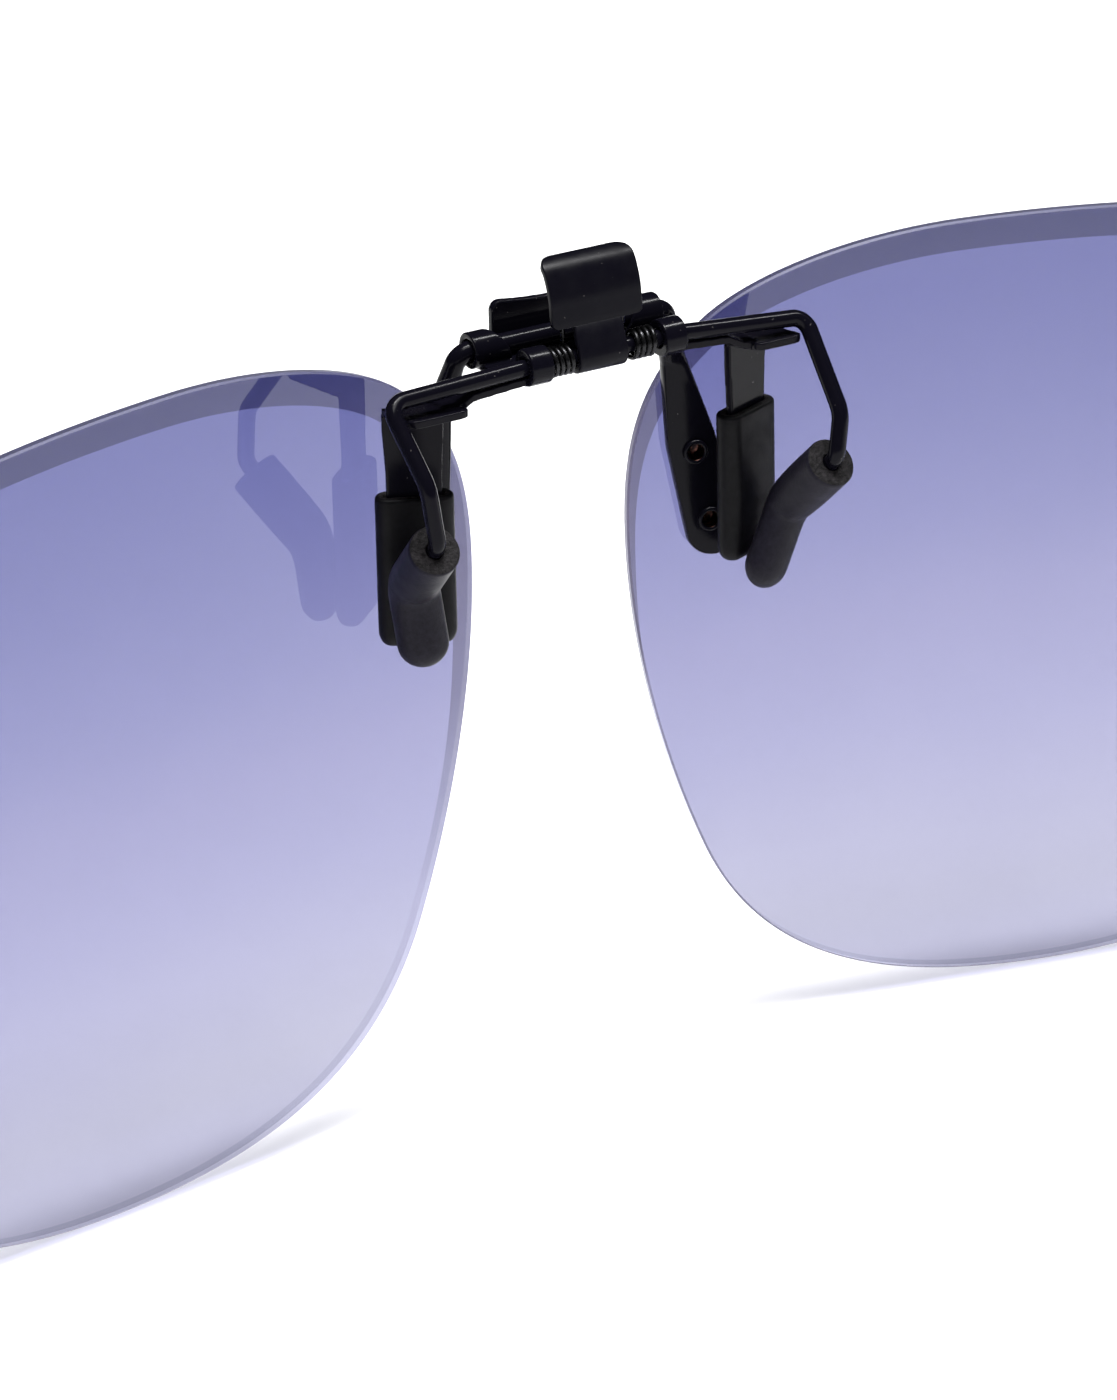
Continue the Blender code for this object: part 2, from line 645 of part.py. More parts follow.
def build_tip(name, side):
    """A thick rubber tube on the wire's end, open above and domed below."""
    path, wire_end = tip_path(side)
    axes = frames(path)
    hole = [p for p in path if p.z > wire_end.z] + [wire_end - Vector((0, 0, 0.1))]
    hole_axes = axes[: len(hole) - 1] + [axes[len(hole) - 1]]
    rings = [ring(p, u, v, TIP_BORE) for p, (u, v) in zip(hole, hole_axes)][::-1]
    (u, v), down = axes[0], (path[1] - path[0]).normalized()
    rings.append(ring(path[0], u, v, TIP_RADIUS - 0.2))
    rings.append(ring(path[0] + down * 0.12, u, v, TIP_RADIUS))
    rings += [pressed(ring(p, u, v, TIP_RADIUS), p) for p, (u, v) in zip(path[1:], axes[1:])]
    (u, v), down = axes[-1], (path[-1] - path[-2]).normalized()
    for k in range(1, 5):
        angle = math.radians(20 * k)
        centre = path[-1] + down * TIP_RADIUS * math.sin(angle)
        rings.append(pressed(ring(centre, u, v, TIP_RADIUS * math.cos(angle)), centre))
    shape = on_side(side, *loft(rings))
    return round_shading(add_object(name, *shape, black_rubber(name), CLIP_AXIS), 50)


# ---- clip


def build_wire():
    """One wire from the left rubber tip, through both knuckles, to the right one."""
    corners, radii = wire_corners(1)
    left = [Vector((-p.x, p.y, p.z)) for p in reversed(wire_corners(-1)[0])]
    path = rounded_path(left + corners, radii[::-1] + radii)
    shape = swept(path, WIRE_RADIUS, 12)
    return round_shading(add_object("clip_wire", *shape, black_metal("clip_wire"), CLIP_AXIS))


def thumb_profile():
    """The tab's middle line seen from the side, top first, relative to the clip axis (y, z)."""
    r = THUMB_CURL
    upper = [(1.12, 5.55), (0.6, 5.22), (0.27, 4.75), (0.1, 4.1), (0.03, 3.0)]
    upper += [(-0.08, THUMB_SHOULDER + 0.02), (-0.1, THUMB_SHOULDER - 0.02), (-0.36, 1.1), (-0.62, 0.6)]
    return upper + [(y, z) for y, z in arc((0, 0), r, 168, 425, 16)]


def thumb_half_width(height, from_top):
    """Round top corners, then the wide plate, then the neck."""
    if from_top < THUMB_CORNER:
        inset = THUMB_CORNER - math.sqrt(THUMB_CORNER**2 - (THUMB_CORNER - from_top) ** 2)
        return THUMB_HALF_WIDTH - inset
    return THUMB_HALF_WIDTH if height > THUMB_SHOULDER else THUMB_NECK


def thumb_sections():
    """Thumb tab cross-sections: four corners for each point of the profile."""
    profile = [Vector((0, y, z)) for y, z in thumb_profile()]
    first, second = profile[0], profile[1]
    profile = [first.lerp(second, k / 4) for k in range(4)] + profile[1:]
    travelled, sections = 0.0, []
    for k, (point, direction) in enumerate(zip(profile, tangents(profile))):
        travelled += (point - profile[k - 1]).length if k else 0.0
        half = thumb_half_width(point.z, travelled if point.z > THUMB_SHOULDER else THUMB_CORNER)
        out = direction.cross(Vector((1, 0, 0))).normalized() * (THUMB_SHEET / 2)
        across = Vector((half, 0, 0))
        centre = CLIP_AXIS + point + Vector((THUMB_OFFSET, 0, 0))
        behind, before = centre - out, centre + out
        sections.append([behind - across, behind + across, before + across, before - across])
    return sections


def build_thumb_tab():
    tab = add_object("thumb_tab", *loft(thumb_sections()), black_metal("thumb_tab"), CLIP_AXIS)
    return round_shading(tab)


def spring_path(start, end):
    """Foot on the bracket plate, coil around the wire, arm up behind the thumb tab."""
    first, last = 60, 360 * SPRING_TURNS
    steps = 12 * SPRING_TURNS
    coil = []
    for k in range(steps + 1):
        angle = math.radians(first + (last - first) * k / steps)
        offset = Vector((0, math.cos(angle), math.sin(angle))) * SPRING_COIL
        coil.append(CLIP_AXIS + offset + Vector((start + (end - start) * k / steps, 0, 0)))
    foot = coil[0] + Vector((0, math.sin(math.radians(first)), -math.cos(math.radians(first)))) * 2.1
    return [foot] + coil + [coil[-1] + Vector((0, -0.1, 2.9))]


def build_spring(name, span):
    steel = material(name, (0.05, 0.05, 0.055), 0.3, metallic=0.9)
    shape = swept(spring_path(*span), SPRING_WIRE, 6)
    return round_shading(add_object(name, *shape, steel), 60)


# ---- assembly


def clear_scene():
    for obj in list(bpy.data.objects):
        bpy.data.objects.remove(obj, do_unlink=True)


def main():
    clear_scene()
    build_bracket()
    build_bridge()
    build_wire()
    build_thumb_tab()
    build_spring("left_torsion_spring", LEFT_SPRING)
    build_spring("right_torsion_spring", RIGHT_SPRING)
    for word, side in (("left", -1), ("right", 1)):
        build_lens(f"{word}_lens", side)
        build_sleeve(f"{word}_leg_sleeve", side)
        build_tip(f"{word}_rubber_tip", side)
        for place, height in RIVET_HEIGHTS.items():
            build_rivet(f"{word}_{place}_rivet", side, height)
            build_washer(f"{word}_{place}_washer", side, height)


main()
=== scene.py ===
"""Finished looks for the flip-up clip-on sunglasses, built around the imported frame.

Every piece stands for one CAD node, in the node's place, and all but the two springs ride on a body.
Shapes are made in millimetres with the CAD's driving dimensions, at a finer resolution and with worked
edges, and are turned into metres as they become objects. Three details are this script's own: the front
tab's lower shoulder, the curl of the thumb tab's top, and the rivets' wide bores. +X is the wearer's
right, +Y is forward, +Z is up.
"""

import math

import bmesh
import bpy
from mathutils import Matrix, Vector


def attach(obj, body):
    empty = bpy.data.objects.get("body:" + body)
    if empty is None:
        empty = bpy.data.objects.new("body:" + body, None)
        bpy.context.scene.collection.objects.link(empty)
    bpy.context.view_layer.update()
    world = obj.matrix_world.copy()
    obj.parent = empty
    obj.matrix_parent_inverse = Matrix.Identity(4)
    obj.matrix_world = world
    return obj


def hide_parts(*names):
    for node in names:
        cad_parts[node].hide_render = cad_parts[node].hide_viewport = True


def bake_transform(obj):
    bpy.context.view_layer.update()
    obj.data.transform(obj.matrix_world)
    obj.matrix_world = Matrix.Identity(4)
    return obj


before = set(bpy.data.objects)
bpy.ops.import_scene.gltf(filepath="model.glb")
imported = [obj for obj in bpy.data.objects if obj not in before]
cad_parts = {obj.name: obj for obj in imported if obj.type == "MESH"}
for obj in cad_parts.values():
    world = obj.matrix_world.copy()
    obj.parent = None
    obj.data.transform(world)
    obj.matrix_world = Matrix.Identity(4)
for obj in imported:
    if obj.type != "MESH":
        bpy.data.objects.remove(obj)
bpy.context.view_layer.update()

MM = 0.001

# ---- driving dimensions, in millimetres

LENS_Y = 6.01
WRAP = math.radians(10.5)
LENS_THICKNESS = 1.0
LENS_HEIGHT = 48.9
NOSE_REACH, NOSE_HEIGHT = 5.26, 32.95
TOP_REACH = 26.5
BOTTOM_REACH = 32.8
TEMPLE_REACH, TEMPLE_HEIGHT = 65.0, 29.5
FACET_DROP, FACET_INSET, FACET_DEPTH = 2.1, 0.7, 0.45
FACET_FADE_LOW, FACET_FADE_HIGH = 12.0, 33.0
EDGE_BREAK = 0.12

FLIP_DEPTH, FLIP_HEIGHT = 3.3, 47.0
FLIP_OFFSET = -0.28
ROD_RADIUS, ROD_SHOULDER, ROD_BENDS = 0.6, 6.8, (1.0, 2.5)
BARREL_RADIUS, BARREL_BORE = 1.08, 0.7
BARREL_INNER, BARREL_OUTER, BARREL_SLANT = 4.4, 6.2, 0.45

PADDLE_GAP, PADDLE_THICKNESS, PADDLE_HALF_WIDTH = 0.1, 0.9, 1.5
PADDLE_TOP, PADDLE_FULL, PADDLE_END = 43.15, 37.9, 30.7
PADDLE_TOP_REACH, PADDLE_END_REACH = 8.02, 10.5
PADDLE_NECK_HALF_WIDTH = 0.76
# How far above the paddle's top the rod starts to neck, to flatten and to turn to the lens.
NECK_LEAD, FLATTEN_LEAD, TURN_LEAD = 2.0, 2.2, 1.0
ELLIPSE, ROUNDED_BAR = 2, 7
# The square of the paddle's half width at its very end, so that the last ring stays open.
LEAST_SQUARE = 0.02

RIVET_HEIGHTS = {"upper": 37.35, "lower": 33.0}
RIVET_SHANK, RIVET_HOLE, RIVET_ROLL, RIVET_HEAD = 0.55, 0.6, 0.63, 0.85
RIVET_LIP, RIVET_LIP_HEIGHT, RIVET_LIP_SEAT, RIVET_DOME = 0.13, 0.14, 0.05, 0.42
RIVET_FLOOR, RIVET_FLOOR_DEPTH, RIVET_BORE_DEPTH, RIVET_BORE_CORNER = 0.12, 0.88, 0.7, (0.05, 0.8)
WASHER_RADIUS, WASHER_THICKNESS, WASHER_CORNER = 1.05, 0.25, 0.06
FIT_GAP = 0.05
CUTTER_MARGIN = 1.0

CLIP_DEPTH, CLIP_HEIGHT = 7.4, 47.0
WIRE_RADIUS = 0.5
KNUCKLE_RADIUS, KNUCKLE_BORE = 1.1, 0.56
KNUCKLE_INNER, KNUCKLE_OUTER = 3.7, 5.1

SHEET = 0.48
PLATE_BOTTOM = 45.87
PLATE_HALF_WIDTH = 6.0
PLATE_BACK_DEPTH, PLATE_FRONT_DEPTH = 5.9, 2.7
FRONT_TAB_DEPTH = 1.85
FRONT_TAB_NECK, FRONT_TAB_HALF_WIDTH = 3.5, 4.3
FRONT_TAB_SHOULDER, FRONT_TAB_TOP, FRONT_TAB_CORNER, FRONT_TAB_DIP = 46.9, 49.2, 0.6, 0.3
BORE_INNER, BORE_OUTER = FRONT_TAB_NECK + 0.05, 8.0
LUG_STEP = 0.03
ARM_BACK_DEPTH, ARM_FRONT_DEPTH = 7.5, 4.9
ARM_INSET, ARM_RISE = 0.9, 0.1
ARM_LEVEL_END, ARM_FALL, ARM_SLOPE, ARM_LAP = 8.4, 0.28, 1.0, 1.8
FLANGE_BOTTOM, FLANGE_BACK_DEPTH, FLANGE_FALL = 45.15, 8.25, 0.13
FLANGE_INNER, FLANGE_OUTER, FLANGE_CORNER = {1: 9.2, -1: 8.4}, 12.95, 0.6
LEG_REACH, LEG_DEPTH, LEG_TURN = 11.0, 4.8, math.radians(22.6)
LEG_TOP_WIDTH, LEG_WIDTH, LEG_TAPER_END, LEG_END = 3.5, 3.2, 41.0, 32.4
LEG_CORNER, LEG_SHOULDER = 0.5, 1.5

SLEEVE_WIDTH, SLEEVE_THICKNESS = 4.55, 1.7
SLEEVE_TOP, SLEEVE_LENGTH = {1: 40.5, -1: 39.75}, 9.15
SLEEVE_CLEARANCE, SLEEVE_ROUNDING, SLEEVE_TUCK = 0.08, 0.9, 0.6
SLEEVE_RIM, SLEEVE_MOUTH_DEPTH, SLEEVE_MOUTH_BEVEL = 0.22, 0.1, 0.06

# For each side, the wire's corners: reach from the middle, depth, height and bend radius.
WIRE_ROUTES = {
    1: (
        (5.5, 7.4, 47.0, 2.0),
        (13.5, 7.4, 46.3, 0.95),
        (13.59, 11.2, 41.57, 2.2),
        (12.97, 11.7, 39.14, 0.9),
        (12.55, 7.0, 34.81, 1.9),
        (11.32, 6.98, 31.9, 0.0),
    ),
    -1: (
        (5.5, 7.4, 47.0, 2.0),
        (13.89, 7.4, 46.66, 1.15),
        (13.33, 10.8, 42.66, 3.0),
        (13.07, 11.3, 39.27, 0.9),
        (12.43, 7.0, 35.32, 1.9),
        (11.97, 6.98, 32.2, 0.0),
    ),
}
TIP_RADIUS, TIP_BORE, TIP_BELOW_BEND, TIP_BEYOND_WIRE = 1.5, 0.56, 0.7, 0.65
TIP_PRESSED, TIP_PRESSED_FROM, TIP_PRESSED_BELOW = 0.75, 37.0, 33.5
# The cut end of a tip: distance down from its end, and radius.
TIP_MOUTH = (
    (-0.02, TIP_BORE + 0.08),
    (0.0, TIP_RADIUS - 0.16),
    (0.05, TIP_RADIUS - 0.05),
    (0.16, TIP_RADIUS),
)

THUMB_OFFSET = -0.35
THUMB_SHEET, THUMB_CURL = 0.42, 0.77
THUMB_NECK, THUMB_HALF_WIDTH = 1.57, 2.95
THUMB_SHOULDER, THUMB_CORNER = 1.9, 0.9
THUMB_LOWER_CORNER, THUMB_EDGE, THUMB_FIRST = 0.35, 0.1, 0.004

SPRING_WIRE, SPRING_COIL = 0.14, 0.78
SPRING_TURNS, SPRING_FIRST_ANGLE = 4, 60
SPRING_FOOT, SPRING_ARM = 2.1, Vector((0, -0.1, 2.9))
LEFT_SPRING, RIGHT_SPRING = (-3.48, -2.15), (3.15, 1.75)

# ---- the view in millimetres, and the studio's lamps and floor in metres

CAMERA_AZIMUTH, CAMERA_ELEVATION = math.radians(-29.355), math.radians(23.657)
CAMERA_ROLL = math.radians(-1.24)
CAMERA_DISTANCE = 443.1
CAMERA_TARGET = Vector((0.995, LENS_Y + 0.3, 22.23))
CAMERA_SENSOR, CAMERA_LENS = 36.0, 192.9

KEY_SIZE, KEY_PLACE, KEY_WATTS = (0.3, 0.04), (0.0, -0.026, 0.7), 4.6
SOFTBOX_SIZE, SOFTBOX_PLACE, SOFTBOX_WATTS = (0.5, 0.28), (0.0, -0.16, 0.7), 5.0
STRIP_SIZE, STRIP_PLACE, STRIP_WATTS = (0.6, 0.06), (0.3, -0.05, 0.7), 9.0
AMBIENT = 0.58
FLOOR_WHITE, FLOOR_REACH = 0.93, 3.0
FLOOR_DROP = 0.58 * MM

# ---- finishes: colours are linear, and tints are stops of (share of the lens height, light let through); some stops hold painted light or shade, as marked

METAL_COLOR, DUST_COLOR = (0.0026, 0.0024, 0.0046, 1.0), (0.06, 0.056, 0.056, 1.0)
METAL_ROUGHNESS, SATIN_ROUGHNESS = 0.16, 0.34
METAL_SPECULAR, RUBBER_SPECULAR = 0.07, 0.09
# Each rubber: its dark shade, its pale shade and its relief in metres.
CUT_RUBBER = (0.001, 0.0009, 0.0012), (0.02, 0.018, 0.02), 0.0002
# The sleeves' rubber is the tips' rubber made darker: painted shade on the sleeves' upright sides, which
# are turned away from the overhead lamps.
PAINTED_SHADE_SLEEVE_RUBBER = (0.0012, 0.0011, 0.0018), (0.0026, 0.0024, 0.0038), 0.00001
TIP_RUBBER = (0.0052, 0.0046, 0.0085), (0.0095, 0.0085, 0.0145), 0.00002
LENS_IOR, LENS_ROUGHNESS, RIM_ROUGHNESS = 1.5, 0.02, 0.4
MIRROR_COLOR = (0.95, 0.95, 1.0, 1.0)
# How far the tint's levels wander up and down, in metres.
TINT_DRIFT = 0.0006
# The lens's tint fades from dark at the top to clear at the bottom. Its three lowest stops are lighter
# than that: painted light that cancels the lens's own shadow on the floor, seen through its lower part.
TINT_AND_PAINTED_LIGHT = (
    (0.0, (0.38, 0.38, 0.49)),
    (0.04, (0.35, 0.35, 0.455)),
    (0.115, (0.3, 0.3, 0.39)),
    (0.22, (0.243, 0.243, 0.345)),
    (0.35, (0.206, 0.206, 0.326)),
    (0.49, (0.174, 0.172, 0.297)),
    (0.62, (0.136, 0.138, 0.269)),
    (0.75, (0.108, 0.112, 0.243)),
    (0.94, (0.079, 0.084, 0.215)),
)
# Low down the facet has the lens's own tint. Higher up it grows far darker, and that extra darkness is
# painted shade standing in for the facet's refraction and reflection.
FACET_TINT_AND_PAINTED_SHADE = (
    (0.0, (0.24, 0.24, 0.335)),
    (0.25, (0.2, 0.2, 0.3)),
    (0.5, (0.05, 0.047, 0.09)),
    (0.67, (0.034, 0.029, 0.058)),
    (1.0, (0.0066, 0.0073, 0.035)),
)
EDGE_TINT = (
    (0.0, (0.6, 0.6, 0.75)),
    (0.25, (0.3, 0.3, 0.4)),
    (0.5, (0.1, 0.095, 0.13)),
    (1.0, (0.13, 0.12, 0.17)),
)
# The back corner runs from dark low down to pale at the top, against the lens's own fade. This is
# painted edge light: painted shade for the dark line along the lower edge, and a painted highlight along
# the top edge.
CORNER_PAINTED_EDGE_LIGHT = (
    (0.0, (0.03, 0.028, 0.05)),
    (0.6, (0.1, 0.095, 0.14)),
    (1.0, (0.4, 0.39, 0.46)),
)

# ---- fineness

ROUND_SIDES = 32
PADDLE_SIDES, PADDLE_STEPS = 40, 40
COIL_STEPS = 28
BEND_STEPS = 14
CURVE_SCALE = 5
TIP_STEP = 0.4
VOXEL = 0.07
SMOOTH_PASSES = 4
# Most of a noise texture's values lie between these two.
NOISE_LOW, NOISE_HIGH = 0.3, 0.7


def depth(value):
    """World Y of a point this far behind the lenses."""
    return LENS_Y - value


FLIP_AXIS = Vector((0, depth(FLIP_DEPTH), FLIP_HEIGHT))
CLIP_AXIS = Vector((0, depth(CLIP_DEPTH), CLIP_HEIGHT))
LENS_NORMAL = Vector((math.sin(WRAP), math.cos(WRAP), 0))


# ---- node materials


class Shader:
    """A material's node tree, with short calls for the nodes this script uses."""

    def __init__(self, name):
        self.material = bpy.data.materials.new(name)
        self.material.use_nodes = True
        self.tree = self.material.node_tree
        self.tree.nodes.clear()
        self.output = self.tree.nodes.new("ShaderNodeOutputMaterial")
        self.place = self.node("ShaderNodeTexCoord").outputs["Object"]

    def node(self, kind, settings=None, **inputs):
        made = self.tree.nodes.new(kind)
        for key, value in (settings or {}).items():
            setattr(made, key, value)
        for key, value in inputs.items():
            self.set(made.inputs[key.replace("_", " ")], value)
        return made

    def set(self, socket, value):
        if isinstance(value, bpy.types.NodeSocket):
            self.tree.links.new(value, socket)
        else:
            socket.default_value = value

    def noise(self, scale, detail=3.0, roughness=0.55):
        found = self.node("ShaderNodeTexNoise", Scale=scale, Detail=detail, Roughness=roughness)
        self.set(found.inputs["Vector"], self.place)
        return found.outputs["Fac"]

    def math(self, operation, first, second):
        made = self.node("ShaderNodeMath", {"operation": operation})
        self.set(made.inputs[0], first)
        self.set(made.inputs[1], second)
        return made.outputs[0]

    def ramp(self, value, *stops):
        """A colour ramp: stops are (position, colour or grey)."""
        made = self.node("ShaderNodeValToRGB", Fac=value)
        stops = [(at, c if isinstance(c, tuple) else (c, c, c)) for at, c in stops]
        elements = made.color_ramp.elements
        for _ in range(len(stops) - len(elements)):
            elements.new(1.0)
        for element, (at, color) in zip(elements, stops):
            element.position = at
            element.color = (*color, 1.0)
        return made.outputs["Color"]

    def bump(self, height, distance, strength):
        made = self.node("ShaderNodeBump", Height=height, Distance=distance, Strength=strength)
        return made.outputs["Normal"]

    def mapped(self, value, low, high, to_low=0.0, to_high=1.0):
        made = self.node("ShaderNodeMapRange")
        for socket, v in zip(made.inputs, (value, low, high, to_low, to_high)):
            self.set(socket, v)
        return made.outputs[0]

    def spread(self, noise, low, high):
        """A noise whose usual range is stretched from low to high."""
        return self.mapped(noise, NOISE_LOW, NOISE_HIGH, low, high)

    def end(self, shader):
        self.tree.links.new(shader.outputs[0], self.output.inputs["Surface"])
        return self.material

    def principled(self, **inputs):
        """The finished material, with one principled surface."""
        return self.end(self.node("ShaderNodeBsdfPrincipled", **inputs))


def black_metal(name, roughness):
    """Black coated steel: faint orange peel, specks of dust, and a roughness that drifts."""
    s = Shader(name)
    specks = s.ramp(s.noise(4200.0, 1.0), (0.77, 0.0), (0.8, 1.0))
    color = s.node("ShaderNodeMixRGB", Fac=specks, Color1=METAL_COLOR, Color2=DUST_COLOR)
    return s.principled(
        Base_Color=color.outputs[0],
        Roughness=s.spread(s.noise(900.0), 0.8 * roughness, 1.3 * roughness),
        Normal=s.bump(s.noise(9000.0, 2.0), 0.00001, 0.25),
        Specular_IOR_Level=METAL_SPECULAR,
    )


def spring_steel():
    s = Shader("spring_steel")
    return s.principled(
        Base_Color=s.ramp(s.noise(3000.0), (0.35, (0.006, 0.006, 0.007)), (0.65, (0.02, 0.02, 0.022))),
        Roughness=s.spread(s.noise(5000.0), 0.2, 0.34),
        Metallic=0.8,
    )


def black_rubber(name, dark, pale, relief):
    """Soft matte rubber, mottled between two shades: a fine skin or, with more relief, a torn end."""
    s = Shader(name)
    mottle = s.noise(3200.0, 6.0, 0.7)
    return s.principled(
        Base_Color=s.ramp(mottle, (0.36, dark), (0.66, pale)),
        Roughness=s.spread(s.noise(700.0), 0.4, 0.56),
        Normal=s.bump(s.noise(9000.0), relief, 0.7),
        Specular_IOR_Level=RUBBER_SPECULAR,
    )


def copper():
    """The inside of a rivet: dull copper with dark patches."""
    s = Shader("rivet_bore")
    patches = s.ramp(s.noise(4000.0), (0.4, (0.012, 0.009, 0.01)), (0.66, (0.2, 0.09, 0.07)))
    return s.principled(Base_Color=patches, Roughness=0.3, Metallic=1.0)


def nylon():
    s = Shader("black_nylon")
    return s.principled(
        Base_Color=s.ramp(s.noise(2000.0), (0.3, 0.008), (0.7, 0.018)),
        Roughness=s.spread(s.noise(1500.0), 0.35, 0.5),
    )


def tinted(name, stops, roughness=LENS_ROUGHNESS):
    """Polished tinted sheet: each face takes the root of the stops' colour, which changes with height;
    some stops are painted light.

    Only the face that the light meets first mirrors it.
    """
    s = Shader(name)
    height = s.node("ShaderNodeSeparateXYZ", Vector=s.place).outputs["Z"]
    drift = s.spread(s.noise(60.0, 2.0), -TINT_DRIFT, TINT_DRIFT)
    level = s.math("ADD", height, drift)
    share = s.mapped(level, 0.0, LENS_HEIGHT * MM)
    root = [(at, tuple(math.sqrt(c) for c in color)) for at, color in stops]
    through = s.node("ShaderNodeBsdfTransparent", Color=s.ramp(share, *root))
    mirror = s.node("ShaderNodeBsdfGlossy", Color=MIRROR_COLOR, Roughness=roughness)
    inside = s.node("ShaderNodeNewGeometry").outputs["Backfacing"]
    outside = s.math("SUBTRACT", 1.0, inside)
    strength = s.math("MULTIPLY", s.node("ShaderNodeFresnel", IOR=LENS_IOR).outputs[0], outside)
    mix = s.node("ShaderNodeMixShader", Fac=strength)
    s.tree.links.new(through.outputs[0], mix.inputs[1])
    s.tree.links.new(mirror.outputs[0], mix.inputs[2])
    return s.end(mix)


# ---- mesh helpers, in millimetres


def raw_object(name, points, faces, materials=(), material_index=None):
    """A mesh object in millimetres with outward normals."""
    mesh = bpy.data.meshes.new(name)
    mesh.from_pydata([Vector(p) for p in points], [], faces)
    for made in materials:
        mesh.materials.append(made)
    if material_index:
        mesh.polygons.foreach_set("material_index", [material_index(f) for f in range(len(faces))])
    shell = bmesh.new()
    shell.from_mesh(mesh)
    bmesh.ops.recalc_face_normals(shell, faces=shell.faces)
    shell.to_mesh(mesh)
    shell.free()
    obj = bpy.data.objects.new(name, mesh)
    bpy.context.scene.collection.objects.link(obj)
    return obj


def bake(obj):
    """Make the object's modifiers part of its mesh."""
    graph = bpy.context.evaluated_depsgraph_get()
    obj.data = bpy.data.meshes.new_from_object(obj.evaluated_get(graph))
    obj.modifiers.clear()


def combine(obj, operation, helper):
    """Cut the helper from the object (DIFFERENCE) or join it on (UNION), and remove it."""
    modifier = obj.modifiers.new("cut", "BOOLEAN")
    modifier.operation = operation
    modifier.solver = "EXACT"
    modifier.object = helper
    bake(obj)
    bpy.data.objects.remove(helper)


def finish(obj, node, body, smooth=40.0):
    """From millimetres to metres, riding on its body if it has one, in place of its CAD node."""
    obj.data.transform(Matrix.Scale(MM, 4))
    obj.data.shade_smooth()
    obj.data.set_sharp_from_angle(angle=math.radians(smooth))
    if body:
        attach(obj, body)
    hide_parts(node)


def loft(rings, cyclic=False):
    """Points and faces of a skin over rings of equal length, capped at both ends unless cyclic."""
    count = len(rings[0])
    points = [p for ring_points in rings for p in ring_points]
    pairs = [(i, i + 1) for i in range(len(rings) - 1)]
    if cyclic:
        pairs.append((len(rings) - 1, 0))
    faces = []
    for low, high in pairs:
        for k in range(count):
            after = (k + 1) % count
            faces.append((low * count + k, low * count + after, high * count + after, high * count + k))
    if not cyclic:
        faces.append(tuple(reversed(range(count))))
        faces.append(tuple((len(rings) - 1) * count + k for k in range(count)))
    return points, faces


def extruded(outline, low, high):
    return loft([[low(*p) for p in outline], [high(*p) for p in outline]])


def on_side(side, points, faces):
    """The shape itself on the right, and its mirror image on the left."""
    if side > 0:
        return points, faces
    return [(-p[0], p[1], p[2]) for p in points], [tuple(reversed(f)) for f in faces]


def arc(centre, radius, start, end, steps):
    angles = [math.radians(start + (end - start) * k / steps) for k in range(steps + 1)]
    return [(centre[0] + radius * math.cos(a), centre[1] + radius * math.sin(a)) for a in angles]


def bezier(p0, p1, p2, p3, steps):
    """Points of a cubic curve, without its last one."""
    found = []
    for k in range(steps):
        t = k / steps
        a, b, c, d = (1 - t) ** 3, 3 * (1 - t) ** 2 * t, 3 * (1 - t) * t**2, t**3
        found.append(tuple(a * p0[i] + b * p1[i] + c * p2[i] + d * p3[i] for i in range(2)))
    return found


def rounded_path(corners, radii):
    """A polyline with its inner corners turned into arcs."""
    corners = [Vector(c) for c in corners]
    path = [corners[0]]
    for before, corner, after, radius in zip(corners, corners[1:], corners[2:], radii[1:]):
        arriving, leaving = (corner - before).normalized(), (after - corner).normalized()
        turn = arriving.angle(leaving)
        start = corner - arriving * radius * math.tan(turn / 2)
        axis = arriving.cross(leaving).normalized()
        centre = start + axis.cross(arriving) * radius
        for k in range(BEND_STEPS + 1):
            turned_so_far = Matrix.Rotation(turn * k / BEND_STEPS, 3, axis)
            path.append(centre + turned_so_far @ (start - centre))
    path.append(corners[-1])
    return path


def dense(path, longest):
    """The path with its long straight stretches divided."""
    found = [path[0]]
    for a, b in zip(path, path[1:]):
        steps = max(1, math.ceil((b - a).length / longest))
        found += [a.lerp(b, (k + 1) / steps) for k in range(steps)]
    return found


def tangents(path):
    ends = [path[0]] + path + [path[-1]]
    return [(ends[i + 2] - ends[i]).normalized() for i in range(len(path))]


def frames(path):
    """A pair of cross axes at each point, carried along the path without twist."""
    directions = tangents(path)
    side = directions[0].orthogonal().normalized()
    found = []
    for direction in directions:
        side = (side - direction * side.dot(direction)).normalized()
        found.append((side, direction.cross(side)))
    return found


def ring(centre, across, along, radius, sides=ROUND_SIDES):
    angles = [2 * math.pi * k / sides for k in range(sides)]
    return [centre + (across * math.cos(a) + along * math.sin(a)) * radius for a in angles]


def swept(path, radius, sides=ROUND_SIDES):
    return loft([ring(p, u, v, radius, sides) for p, (u, v) in zip(path, frames(path))])


def turned(profile, centre, axis, sides=ROUND_SIDES, cyclic=False):
    """A shape made on a lathe: profile is (radius, distance along the axis)."""
    across = axis.orthogonal().normalized()
    along = axis.cross(across)
    return loft([ring(centre + axis * t, across, along, r, sides) for r, t in profile], cyclic)


def blend(value, low, high):
    """A smooth step from 0 at low to 1 at high."""
    share = max(0.0, min(1.0, (value - low) / (high - low)))
    return share * share * (3 - 2 * share)


# ---- lenses


def on_lens(reach, height, outward):
    """A point on the right lens: reach along the sheet, height, and distance before its back face."""
    x = reach * math.cos(WRAP) + outward * math.sin(WRAP)
    y = LENS_Y - reach * math.sin(WRAP) + outward * math.cos(WRAP)
    return Vector((x, y, height))


